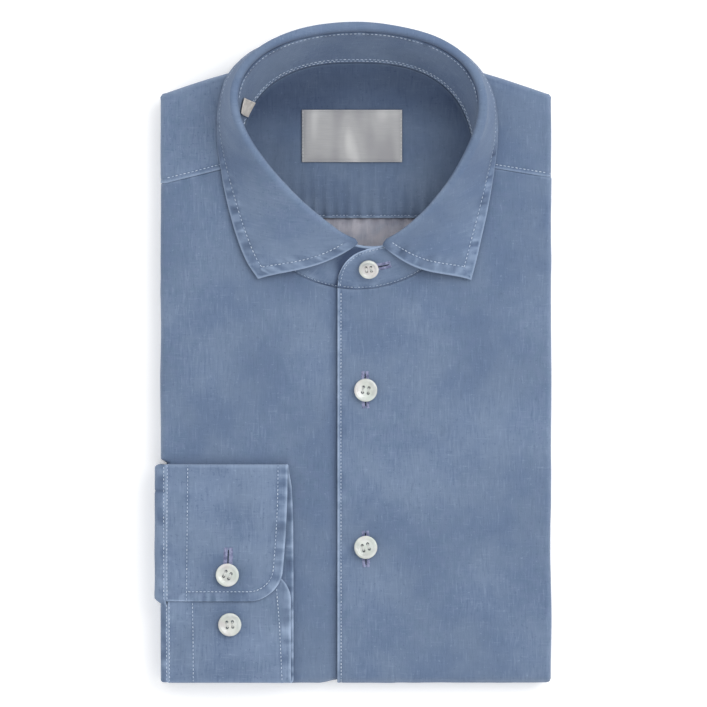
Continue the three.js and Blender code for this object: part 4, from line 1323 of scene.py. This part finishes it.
def collarLeaf():
    fineT = np.linspace(0, 1, 601)
    run = runLength(np.array([through(edgeKnots, t) for t in fineT])[None])[0]
    near = [0, 0.08, 0.25, 0.55, 1.0, 1.7, 2.6, 3.6, 4.6, 5.3, 5.8, 6.3, 6.9, 7.8]
    stations = np.interp(rungs(run[-1], near, 250, near), run, fineT)
    lines, crests = [], []
    foot = [0, 0.08, 0.25, 0.6, 1.1, 1.8, 2.6, 3.4, 4.2, 5.0, 5.8, 6.6]
    for t in stations:
        line, crest = leafLine(t)
        length = float(runLength(line[None])[0][-1])
        lines.append(resample(line, rungs(length, foot, 26, near)))
        crests.append(crest)
    middle = np.array(lines)
    up = runLength(middle)
    fromEdge = up[:, -1:] - up
    side = runLength(middle.transpose(1, 0, 2)).T
    fromFront = np.minimum(side, side[-1:] - side)
    fromFold = up - np.array(crests)[:, None]
    strip = np.minimum(fromEdge, fromFront)
    along = np.where(fromEdge < fromFront, side, up + 700)
    # Puckers cross the strip between the edge and its stitches, most of all near the points
    pull = 0.65 * lattice(along, strip * 0.2, 2.5, 121) + 0.4 * lattice(along, strip * 0.3, 1.5, 126)
    pull = pull + 0.3 * lattice(along, strip, 5.5, 122)
    forward = 1 - smooth(fromFront, 50, 105)
    puckered = smooth(strip, 0.4, 1.8) * (1 - smooth(strip, 5.0, 6.4)) * smooth(up, 5,
        8) * (0.4 + 0.6 * forward)
    behind = bell(strip - 7.4, 2.4) * smooth(up, 6, 8) * (0.3 + 0.7 * forward)
    ditch = bell(strip - leaf["stitchAway"], 0.6) * smooth(up, 6, 8) * (0.4 + 0.6 * forward)
    lift = 0.36 * pull * puckered + 0.16 * pull * behind - 0.3 * ditch + 0.14 * bell(strip - 1.2,
        1.2) * smooth(up, 6, 8)
    lift = lift + 0.5 * lattice(side, up * 0.8, 27, 123) * smooth(strip, 5, 14) + 0.12 * lattice(side,
        up, 7, 124)
    # Colour follows the puckers, and the stitch ditch is darkened with painted shade
    wear = 0.75 * pull * puckered + 0.3 * pull * behind - 0.2 * ditch + 0.1 * lattice(side, up, 22,
        125) + 0.04
    # Paler along the worn fold, and painted shade at the foot where the leaf is sewn to the band
    wear = wear + bell(fromFold,
        0.9) * (0.06 + 0.22 * forward * smooth(fromFront, 1, 9)) - 0.5 * bell(up, 1.4)
    # Painted shade: the leaf is darker towards the upper right, against the stronger light there, and both
    # front ends are darkened at the neck
    wear = wear - 0.1 * smooth(middle[..., 0], 20, 60) - 0.07 * smooth(middle[..., 1], 85, 110)
    wear = wear - 0.3 * bell(fromFront, 5) * (1 - smooth(up, 6, 14))
    # The weft lies level on the two points
    plan = middle[..., 1] + 0.8 * middle[..., 2]
    grain = np.stack([plan, middle[..., 0], 0 * up], -1)
    piece, outer = makeCloth(
        "collarLeaf", middle, leaf["wall"], finishes["denimCollar"], grain, lift=lift, wear=wear,
        edgeGlow=0.6 * (0.35 + 0.65 * forward) * smooth(up, 6, 11))
    standsFor("collar_leaf")
    return piece, outer, fromEdge, fromFront, up


bandPiece = collarBand()
leafPiece, leafSkin, leafFromEdge, leafFromFront, leafUp = collarLeaf()
print("collar is up")


# The size tab hangs from the neck seam against the band's inner face

tabLook = {"from": 147.0, "to": 157.0, "low": 0.1, "high": 0.7, "lean": 9.0, "wall": 0.8, "away": 1.76}


def sizeTab():
    look = tabLook
    angles = np.linspace(look["from"], look["to"], 26)
    lines = []
    for angle in angles:
        line = []
        for s in rungs(1.0, [0, 0.006, 0.02, 0.05], 20, [0, 0.006, 0.02, 0.05]):
            low, high, _, out = bandFrame(angle + look["lean"] * s)
            line.append(lerp(low, high, lerp(look["low"], look["high"], s)) - out * look["away"])
        lines.append(line)
    middle = np.array(lines)
    up = runLength(middle)
    along = runLength(middle.transpose(1, 0, 2)).T
    away = edgeDistance(middle)
    lift = 0.2 * lattice(along, up, 6, 131)
    wear = 0.25 * bell(away - 0.9, 0.35)
    grain = np.stack([along, up, 0 * up], -1)
    piece, _ = makeCloth("sizeTab", middle, look["wall"], finishes["tape"], grain, lift=lift, wear=wear,
        edgeGlow=0)
    standsFor("size_tab")
    return piece


# The right sleeve comes round the pack's side, and its buttoned cuff lies on the front

cuffLevels = {"bottom": 0.95, "middle": 2.6, "top": 4.3}
cuff = {
    "topY": -60.4, "bottomY": -180.8, "overEndY": -135.9, "underEndY": -119.0, "seamX": -103.1,
    "hemX": -35.9,
    "hemLean": 4.5, "middleHemX": -34.1, "bottomHemX": -32.7, "underShift": 1.2, "corner": 16.5,
    "wall": 0.95, "stitchAway": 5.3, "stitchX": -91.0,
}
sleeve = {"outerX": -108.6, "lowerX": -105.3, "innerX": -103.5, "end": 0.95, "wall": 0.95, "pleatY": -75.5}


def underCuff(x, y):
    return topHeight(x, y) - lapDepth(x)


def leanedHem(y):
    # The top layer's hem leans in towards its buttonhole end
    down = np.maximum(0, cuff["topY"] - 2.3 - y) / (cuff["topY"] - 2.3 - cuff["overEndY"])
    return cuff["hemX"] - cuff["hemLean"] * down**2


def roundedOff(fromEnd):
    lost = np.clip(1 - fromEnd / cuff["corner"], 0, 1)
    return cuff["corner"] * (1 - np.sqrt(1 - lost**2))


def cuffRows():
    # y, level, how far its seam belongs to the layers below, its hem, and the distance from its own end
    levels = cuffLevels
    fine = np.array([0, 0.08, 0.25, 0.55, 1.0, 1.7, 2.6, 3.6, 4.4, 4.9, 5.4, 5.9, 6.5, 7.4])
    top = np.concatenate([fine, np.linspace(8.4, cuff["topY"] - 2.8 - cuff["overEndY"], 58)])
    rows = [(cuff["overEndY"] + t, levels["top"], 0.0, float(leanedHem(cuff["overEndY"] + t)), t)
        for t in top]

    def turnOver(centreY, lower, upper, way, bend):
        radius = (upper - lower) / 2
        turns = np.radians(np.linspace(78, -78, 9))
        hems = np.linspace(cuff["hemX"], cuff["hemX"] + 0.6,
            9) if way > 0 else np.linspace(cuff["middleHemX"], cuff["bottomHemX"], 9)
        return [(
            centreY + way * radius * bend * math.cos(a),
            lower + radius + radius * math.sin(a),
            (1 - math.sin(a)) / 2 if way > 0 else 1.0,
            hem,
            99.0,
        ) for a, hem in zip(turns, hems)]

    rows += turnOver(cuff["topY"] - 2.8, levels["bottom"], levels["top"], 1, 1.3)
    splay = lambda y: float(np.interp(cuff["topY"] - y, [0, 5, 13, 30, 60],
        [0.7, 0.9, 2.3, 3.0, 3.2])) + cuff["hemX"]
    rows += [(y, levels["bottom"], 1.0, splay(y), 99.0)
        for y in np.linspace(cuff["topY"] - 4.5, cuff["bottomY"] + 3, 70)]
    rows += turnOver(cuff["bottomY"] + 1.6, levels["bottom"], levels["middle"], -1, 1.3)[::-1]
    end = np.concatenate([np.linspace(cuff["underEndY"] - cuff["bottomY"] - 3, 8.4, 52), fine[::-1]])
    rows += [(cuff["underEndY"] - t, levels["middle"], 1.0, cuff["middleHemX"], t) for t in end]
    return rows


def cuffPath(away):
    # A line inside the edge of the upper layer: down the hem, round the corner and along the end
    end, size = cuff["overEndY"], cuff["corner"]
    y = np.concatenate([np.linspace(cuff["topY"] - 1.0, end + size, 16),
        end + size * (1 - np.sin(np.linspace(0.06, math.pi / 2, 24)))])
    x = leanedHem(y) - roundedOff(y - end)
    edge = np.stack([np.concatenate([x, np.linspace(x[-1] - 2, cuff["stitchX"], 8)]),
        np.concatenate([y, np.full(8, end)])], -1)
    way = unit(np.gradient(edge, axis=0))
    return [tuple(place) for place in edge + np.stack([way[:, 1], -way[:, 0]], -1) * away]


cuffButtons = [(-69.0, -121.4, "top"), (-67.7, -148.7, "middle")]
cuffStitch = {
    "hem": cuffPath(cuff["stitchAway"]),
    "single": fromPhoto((188, 464.5), (187.2, 540), (186.7, 600.5)),
    "seam": fromPhoto((167.6, 465), (167.0, 540), (167.2, 600)),
    "lowerHem": fromPhoto((276.5, 588), (279.5, 625), (282.2, 683)),
    "lowerSingle": fromPhoto((192.6, 602), (193.2, 640), (193.4, 682)),
    "lowerSeam": fromPhoto((169.2, 602), (169.6, 682)),
}


def cuffRelief(x, y, upper):
    paths = ("hem", "single", "seam") if upper else ("lowerHem", "lowerSingle", "lowerSeam")
    lift = 0.32 * lattice(x, y, 26, 141 + upper) + 0.12 * lattice(x, y, 9, 143 + upper)
    wear = 0.15 + 0.14 * lattice(x, y, 17, 145 + upper)
    for k, key in enumerate(paths):
        away, along = planDistance(x, y, cuffStitch[key])
        # The hem band beyond the stitches puckers most
        outside = np.zeros_like(x)
        if key in ("hem", "lowerHem"):
            strip = planDistance(x, y, cuffPath(0.0))[0] if upper else cuff["middleHemX"] - x
            outside = 1 - smooth(strip, 4.4, 5.8)
        pull = 0.8 * lattice(along, away * 0.2, 2.4, 151 + 3 * k + upper) + 0.35 * lattice(along, away, 5.5,
            161 + k)
        envelope = np.maximum(0.3 * bell(away, 3.0), 0.9 * outside)
        # The stitch ditches are darkened with painted shade
        lift = lift + 0.34 * pull * envelope - 0.24 * bell(away, 0.6)
        wear = wear + 0.6 * pull * envelope - 0.2 * bell(away, 0.6)
    for bx, by, level in cuffButtons:
        if (level == "top") == bool(upper):
            away = np.hypot(x - bx, y - by)
            turn = np.degrees(np.arctan2(y - by, x - bx))
            # The button presses a dip, ringed with painted shadow
            lift = lift - 0.5 * bell(away - 8, 6) * (0.5 + 0.5 * lattice(turn, 0 * turn, 40, 171))
            wear = wear - 0.14 * bell(away - 8, 5)
    return lift, wear


def cuffBand():
    rows = cuffRows()
    lines, wearAndShadingLines, lifts, grains = [], [], [], []
    run = 0.0
    before = None
    for y, level, under, hem, fromEnd in rows:
        hemX = hem - float(roundedOff(fromEnd))
        seamX = cuff["seamX"] + under * cuff["underShift"]
        fine = [0, 0.08, 0.25, 0.6, 1.1, 1.7]
        farFine = [0, 0.08, 0.25, 0.55, 1.0, 1.7, 2.6, 3.6, 4.4, 4.9, 5.4, 5.9, 6.5, 7.4]
        x = seamX + rungs(hemX - seamX, fine, 44, farFine)
        run += 0 if before is None else math.hypot(y - before[0], level - before[1])
        before = (y, level)
        upper = 1 if level > 3.3 else 0
        lift, wear = cuffRelief(x, np.full_like(x, y), upper)
        # The lowest layer shows only beyond the hem of the others, and the middle one below the top one's end
        shown = 1.0 if upper else 0.9 * smooth(x, cuff["hemX"] - 1.5,
            cuff["hemX"]) if level < 1.6 else float(smooth(-y, 118, 134))
        lines.append(np.stack([x, 0 * x + y, underCuff(x, y) + level], -1))
        if level < 1.6:
            pull = lattice(y, x * 0.2, 2.6, 191)
            lift, wear = 0.3 * pull, 0.7 * pull - 0.12
        lifts.append(lift * shown * float(smooth(abs(y - cuff["topY"]), 2, 6)))
        wearAndShadingLines.append(wear * shown)
        grains.append(np.stack([x, 0 * x + run, 0 * x], -1))
    middle = np.array(lines)
    # Worn paler along the two folds
    y = middle[..., 1]
    wear = np.array(wearAndShadingLines) + 0.35 * bell(y - cuff["topY"] + 0.8,
        1.1) + 0.35 * bell(y - cuff["bottomY"] - 0.2, 1.0)
    piece, _ = makeCloth(
        "cuff", middle, cuff["wall"], finishes["denim"], np.array(grains), lift=np.array(lifts), wear=wear,
        edgeGlow=0.6)
    standsFor("cuff_right")
    return piece


def sleeveTube():
    # A flat tube: the ring runs down the outside, round and back up the inside
    top, bottom = cuff["topY"] - 2.2, cuff["bottomY"] + 1.8
    straight = np.linspace(bottom, top, 84)
    turn = np.linspace(0, math.pi, 10)[1:-1]
    ring = [(y, 1.0) for y in straight]
    ring += [(top + 1.5 * math.sin(a), (1 + math.cos(a)) / 2) for a in turn]
    ring += [(y, 0.0) for y in straight[::-1]]
    ring += [(bottom - 1.1 * math.sin(a), (1 - math.cos(a)) / 2) for a in turn]
    seam = cuff["seamX"] - 0.45
    lines = []
    for y, skin in ring:
        lower = float(smooth(-y, 134.5, 136.8))
        outerX = lerp(sleeve["outerX"], sleeve["lowerX"], lower)
        x = lerp(sleeve["innerX"], outerX, skin)
        level = cuffLevels["middle"] if y < cuff["overEndY"] else cuffLevels["top"]
        level = lerp(cuffLevels["top"], cuffLevels["middle"],
            float(smooth(-y, 135.2, 136.6))) if skin > 0.5 else level
        shoulderZ = float(topHeight(seam, y)) + lerp(cuffLevels["bottom"], level, skin)
        start = seam + cuff["underShift"] * max(1 - skin, float(smooth(-y, 135.9, 139.9)))
        knots = np.array([
            (start + 0.9, y, shoulderZ - 0.3), (lerp(start, x, 0.55), y, shoulderZ - 0.2 - 0.5 * skin),
            (lerp(start, x, 0.9), y, shoulderZ - lerp(0.8, 2, skin)), (x, y, shoulderZ - lerp(2, 4, skin)),
            (x, y, 11), (x, y, 6), (x + 0.2 * skin, y, sleeve["end"]),
        ])
        line = np.array([through(knots, t) for t in np.linspace(0, 1, 31)])
        length = float(runLength(line[None])[0][-1])
        lines.append(resample(line, rungs(length, [0, 0.08, 0.25, 0.6], 24, [0, 0.1, 0.4])))
    middle = np.array(lines)
    down = runLength(middle)
    y = middle[..., 1]
    skins = np.array([s for _, s in ring])[:, None]
    pull = lattice(y, down * 0.5, 4.4, 181)
    lift = (0.16 * pull * bell(down - 1.2, 1.8) + 0.16 * lattice(y, down, 14, 182) - 0.35
        * bell(y - sleeve["pleatY"], 0.7)) * (skins > 0.9)
    # Painted shade in the pleat's crease
    wear = 0.5 * pull * bell(down - 1.8, 2.4) + 0.16 * lattice(y, down, 12,
        183) - 0.5 * bell(y - sleeve["pleatY"], 0.8) * (skins > 0.9)
    wear = wear + 0.02 + 0.16 * bell(down - 5.5, 2.0)
    grain = np.stack([down, y, 0 * y], -1)
    piece, _ = makeCloth(
        "sleeve", middle, sleeve["wall"], finishes["denim"], grain, ring=True, lift=lift, wear=wear,
        edgeGlow=0.5)
    standsFor("sleeve_right")
    return piece


tabPiece = sizeTab()
cuffPiece = cuffBand()
sleevePiece = sleeveTube()
print("sleeve, cuff and tab are on")


# Buttons: cut shell with a raised rim, a dished middle and four holes, sewn on with thread

buttonLook = {
    "radius": 6.4,
    "collarRadius": 5.5,
    "thick": 2.6,
    "hole": 0.115,
    "holeAway": 0.24,
    "profile": [
        (0.0, 0.0), (0.5, 0.0), (0.8, 0.0), (0.9, 0.14), (0.965, 0.32), (0.995, 0.55), (1.0, 0.72),
        (0.985, 0.86),
        (0.955, 0.95), (0.91, 0.995), (0.85, 1.0), (0.79, 0.975), (0.735, 0.92), (0.68, 0.84),
        (0.62, 0.765),
        (0.55, 0.715), (0.45, 0.69), (0.3, 0.675), (0.15, 0.67), (0.0, 0.67),
    ],
}


def latheMesh(profile, sides):
    points, faces = [], []
    for r, z in profile:
        points += [(r * math.cos(a), r * math.sin(a), z) for a in np.arange(sides) * 2 * math.pi / sides]
    for k in range(len(profile) - 1):
        for i in range(sides):
            j = (i + 1) % sides
            faces.append((k * sides + i, k * sides + j, (k + 1) * sides + j, (k + 1) * sides + i))
    return points, faces


def turnedDisc(radius):
    # The blank is turned first, then drilled
    thick = buttonLook["thick"]
    profile = [(max(r * radius, 0.004), z * thick) for r, z in buttonLook["profile"]]
    points, faces = latheMesh(profile, 56)
    last = len(points) - 56
    faces += [tuple(reversed(range(56))), tuple(range(last, last + 56))]
    blank = bpy.data.meshes.new("blank")
    blank.from_pydata(points, [], faces)
    disc = bpy.data.objects.new("blank", blank)
    scene.collection.objects.link(disc)
    hole, away = buttonLook["hole"] * radius, buttonLook["holeAway"] * radius
    drillPoints, drillFaces = [], []
    shape = [(hole, -1.0), (hole, thick * 0.58), (hole * 1.45, thick * 0.71), (hole * 1.5, thick * 1.4)]
    for sx, sy in ((1, 1), (1, -1), (-1, 1), (-1, -1)):
        p, f = latheMesh(shape, 18)
        base = len(drillPoints)
        drillPoints += [(x + sx * away, y + sy * away, z) for x, y, z in p]
        drillFaces += [tuple(v + base for v in face) for face in f]
        drillFaces += [tuple(reversed(range(base, base + 18))), tuple(range(base + 54, base + 72))]
    drillMesh = bpy.data.meshes.new("drill")
    drillMesh.from_pydata(drillPoints, [], drillFaces)
    drill = bpy.data.objects.new("drill", drillMesh)
    scene.collection.objects.link(drill)
    cut = disc.modifiers.new("cut", "BOOLEAN")
    cut.object = drill
    cut.operation = "DIFFERENCE"
    cut.solver = "EXACT"
    graph = bpy.context.evaluated_depsgraph_get()
    made = bpy.data.meshes.new_from_object(disc.evaluated_get(graph))
    bpy.data.objects.remove(disc)
    bpy.data.objects.remove(drill)
    points = np.array([v.co[:] for v in made.vertices])
    faces = [tuple(p.vertices) for p in made.polygons]
    return points, faces


def placed(points, origin, out, turn=0.0):
    # Stands a turned thing on a face that looks along out
    out = unit(np.asarray(out, float))
    across = unit(np.cross((0.0, 1.0, 0.0), out))
    up = np.cross(out, across)
    c, s = math.cos(turn), math.sin(turn)
    x, y = points[:, :1] * c - points[:, 1:2] * s, points[:, :1] * s + points[:, 1:2] * c
    return np.asarray(origin) + x * across + y * up + points[:, 2:3] * out


def makeButton(name, node, radius, origin, out, turn, sewn):
    points, faces = turnedDisc(radius)
    piece = makeObject(name, placed(points, origin, out, turn), faces, finishes["pearl"])
    piece.data.set_sharp_from_angle(angle=math.radians(38))
    standsFor(node)
    # Two passes of thread between each pair of holes
    away, face = buttonLook["holeAway"] * radius, buttonLook["thick"] * 0.67
    centres, ways = [], []
    for sx in (-1, 1):
        for strand in (-0.2, 0.22):
            centres.append((sx * away + strand, 0.0, face + 0.16))
            ways.append((0.0, 1.0, 0.0))
    local = np.array(centres)
    direction = placed(np.array(ways), (0, 0, 0), out, turn)
    up = np.repeat(unit(np.asarray(out, float))[None], len(local), axis=0)
    sewn.add(*threadMesh(placed(local, origin, out, turn), direction, up, 2 * away + 0.9, 0.2, seed=7,
        hump=1.0))


buttonSewing = Sewing()
for k, y in enumerate((-19.9, -106.3)):
    place = (7.0, y, float(topHeight(7.0, y)) + clear)
    turn = (-0.16, 0.3)[k]
    makeButton(f"buttonFront{k + 1}", f"button_front_{k + 1}", buttonLook["radius"], place, (0, 0, 1), turn,
        buttonSewing)
for k, (x, y, level) in enumerate(cuffButtons):
    place = (x, y, float(underCuff(x, y)) + cuffLevels[level] + 0.9)
    turn = (-0.45, 0.08)[k]
    makeButton(f"buttonCuff{k + 1}", f"button_cuff_{k + 1}", buttonLook["radius"], place, (0, 0, 1), turn,
        buttonSewing)
collarPlace, collarOut = bandPoint(-83, 0.5, 0.6 + 2.4 * clear)
makeButton("buttonCollar", "button_collar", buttonLook["collarRadius"], collarPlace, collarOut, 0.1,
    buttonSewing)
buttonSewing.make("buttonThreads", finishes["buttonThread"])
print("buttons are sewn on")


# Topstitching

stitchLook = {"pitch": 2.3, "radius": 0.2}


def gridRow(skin, field, level, axis):
    # The line over a grid of points where a field that grows from zero crosses a level
    grid = skin if axis == 1 else skin.transpose(1, 0, 2)
    values = field if axis == 1 else field.T
    normal = normalsOf(skin)
    normal = normal if axis == 1 else normal.transpose(1, 0, 2)
    points, normals = [], []
    for line, value, ways in zip(grid, values, normal):
        order = np.argsort(value, kind="stable")
        if value[order[-1]] < level or value[order[0]] > level:
            continue
        v = value[order]
        points.append([np.interp(level, v, line[order, k]) for k in range(3)])
        normals.append([np.interp(level, v, ways[order, k]) for k in range(3)])
    return np.array(points), np.array(normals)


def leafStitching():
    sewing = Sewing()
    away = leaf["stitchAway"]
    inside = [i for i in range(len(leafSkin)) if leafFromFront[i, -1] >= away - 0.3]
    rows = slice(leafSkin.shape[1] // 2, None)
    points, normals = gridRow(leafSkin[inside][:, rows], leafFromEdge[inside][:, rows], away, 1)
    thinner = lambda centres: stitchLook["radius"] - 0.09 * smooth(centres[:, 1], 84, 100)
    sewing.row(points, normals, seed=3, lift=0.0, **{**stitchLook, "radius": thinner})
    half = len(leafSkin) // 2
    for part, seed in ((slice(0, half), 4), (slice(half, None), 5)):
        skin, front, edge = leafSkin[part], leafFromFront[part], leafFromEdge[part]
        keep = [j for j in range(skin.shape[1]) if edge[0 if seed == 4 else -1, j] >= away - 0.3
            and leafUp[0 if seed == 4 else -1, j] > 6.5]
        points, normals = gridRow(skin[:, keep], front[:, keep], away, 0)
        sewing.row(points, normals, seed=seed, lift=0.0, **stitchLook)
    return sewing.make("leafStitching", finishes["seamThread"])


def bandStitching():
    sewing = Sewing()

    def rowOn(angles, shareAt, side, **settings):
        path, ways = [], []
        for angle in angles:
            low, high, up, out = bandFrame(angle)
            length = float(np.linalg.norm(high - low))
            point = low + up * shareAt(angle, length) + out * side * (band["wall"] / 2 + 0.02)
            path.append(point)
            ways.append(out * side)
        sewing.row(path, ways, **{**stitchLook, **settings})

    # Inside at the back: under the leaf seam, and the neck seam's two rows
    rowOn(np.linspace(18, 162, 120), lambda a, length: length - 1.4, -1, seed=11)
    rowOn(np.linspace(-4, 190, 150), lambda a, length: 2.4, -1, seed=12)
    rowOn(np.linspace(-4, 190, 150), lambda a, length: 4.2, -1, seed=13)
    # Outside: round the tip, along the bottom seam and below the leaf in front
    rowOn(np.linspace(-96.8, -38, 60), lambda a, length: 1.3, 1, seed=14, pitch=2.0, radius=0.11)
    tip = [(a, float(np.linalg.norm(bandFrame(a)[1] - bandFrame(a)[0])) * tipShare(a))
        for a in np.linspace(band["over"], -40, 160)]
    edge = np.array([(64.75 * math.radians(a - band["over"]), height) for a, height in tip])
    edge = np.concatenate([np.linspace((0.0, 0.0), edge[0], 12)[:-1], edge])
    way = unit(np.gradient(edge, axis=0))
    inside = edge + np.stack([way[:, 1], -way[:, 0]], -1) * 1.6
    inside = inside[(inside[:, 0] > 1.3) & (inside[:, 1] > 0.6)]
    path, ways = [], []
    for along, height in inside:
        low, high, up, out = bandFrame(band["over"] + math.degrees(along / 64.75))
        path.append(low + up * height + out * (band["wall"] / 2 + 0.02))
        ways.append(out)
    sewing.row(path, ways, **{**stitchLook, "seed": 15, "pitch": 2.0, "radius": 0.16})
    rowOn(np.linspace(236, 284, 50), lambda a, length: 1.3, 1, seed=16, pitch=2.0, radius=0.09)
    return sewing.make("bandStitching", finishes["seamThread"])


def panelStitching():
    sewing = Sewing()
    sewing.overRow(["frontLeft"], [(-6.6, 33.8), (-6.65, -40), (-6.5, -181)], pitch=1.9, seed=21)
    sewing.overRow(["yokeOuter"], yokeStitch["right"], pitch=2.2, seed=22)
    sewing.overRow(["yokeOuter"], yokeStitch["left"], pitch=2.2, seed=23)
    sewing.overRow(["yokeInner"], [(-48, 76.4), (54, 76.4)], pitch=2.0, radius=0.13, lift=-0.03, seed=24)
    return sewing.make("panelStitching", finishes["seamThread"])


def cuffStitching():
    sewing = Sewing()
    for k, path in enumerate(cuffStitch.values()):
        sewing.overRow(["cuff"], path, pitch=2.1, seed=31 + k)
    sewing.overRow(["sleeve"], fromPhoto((163.9, 466), (163.9, 600)), pitch=2.1, seed=38)
    sewing.overRow(["sleeve"], fromPhoto((166.6, 604), (166.8, 681)), pitch=2.1, seed=39)
    return sewing.make("cuffStitching", finishes["seamThread"])


def labelStitching():
    sewing = Sewing()
    look = labelLook
    inner = 0.55
    l, r, b, t = look["left"] + inner, look["right"] - inner, look["bottom"] + inner, look["top"] - inner
    sewing.overRow(["neckLabel"], [(l, b), (l, t)], pitch=1.9, radius=0.14, seed=41)
    sewing.overRow(["neckLabel"], [(r, b), (r, t)], pitch=1.9, radius=0.14, seed=42)
    return sewing.make("labelStitching", finishes["buttonThread"])


stitchPieces = {
    "leaf": leafStitching(),
    "band": bandStitching(),
    "panels": panelStitching(),
    "cuff": cuffStitching(),
    "label": labelStitching(),
}
print("seams are stitched")


# Buttonholes: two ridges of close thread along a slit, with a bar at each end

holeLook = {"width": 4.4, "pitch": 0.44, "radius": 0.25, "bar": 4}


def sewnHole(sewing, slits, names, start, end, frameAt=None, width=holeLook["width"]):
    start, end = np.array(start, float), np.array(end, float)
    length = float(np.linalg.norm(end - start))
    way = (end - start) / length
    cross = np.array([-way[1], way[0]])
    count = int(length / holeLook["pitch"])
    centres, along, up = [], [], []
    place = frameAt or (lambda u, v: onto(names, *(start + way * u + cross * v)))
    arm = width / 2 - 0.25
    for k in range(count + 1):
        u = k * length / count
        atEnd = k < holeLook["bar"] or k > count - holeLook["bar"]
        for side in (-1, 1):
            near, far = (0.0 if atEnd else 0.3), arm + 0.25
            a, b = place(u, side * near), place(u, side * far)
            if a is None or b is None:
                continue
            centres.append((a[0] + b[0]) / 2)
            along.append(b[0] - a[0])
            up.append(unit(a[1] + b[1]))
    sewing.add(*threadMesh(np.array(centres), np.array(along), np.array(up), arm * 1.05, holeLook["radius"],
        seed=51, hump=0.9))
    # A dark strip down the slit is the painted shadow in the opening
    line = [place(u, v) for u in np.linspace(1.0, length - 1.0, 16) for v in (-0.28, 0.28)]
    if all(p is not None for p in line):
        grid = np.array([p[0] + p[1] * 0.06 for p in line]).reshape(16, 2, 3)
        base = slits["count"]
        slits["points"].append(grid.reshape(-1, 3))
        slits["faces"] += [(base + 2 * i, base + 2 * i + 1, base + 2 * i + 3, base + 2 * i + 2)
            for i in range(15)]
        slits["count"] += 32


def makeHoles():
    sewing, slits = Sewing(), {"points": [], "faces": [], "count": 0}
    sewnHole(sewing, slits, ["frontLeft"], (6.6, -9.6), (7.0, -29.6))
    sewnHole(sewing, slits, ["frontLeft"], (6.8, -97.4), (7.2, -117.0))
    sewnHole(sewing, slits, ["cuff"], (-68.4, -106.6), (-69.2, -126.6), width=5.3)
    def onBand(u, v):
        # Along the band towards the wearer's left from just past the button
        point, way = bandPoint(-88 + u / 66 * 57.3, 0.5, band["wall"] / 2)
        frameUp = bandFrame(-88 + u / 66 * 57.3)[2]
        return point + frameUp * v, way

    sewnHole(sewing, slits, [], (0, 0), (20.0, 0), onBand)
    threads = sewing.make("buttonholes", finishes["holeThread"])
    slitShadowPiece = makeObject("buttonholeSlitShadows", np.concatenate(slits["points"]), slits["faces"],
        finishes["slit"])
    tag(slitShadowPiece, np.concatenate(slits["points"]), np.full(slits["count"], -0.9))
    return threads, slitShadowPiece


holePieces = makeHoles()
print("buttonholes are worked")
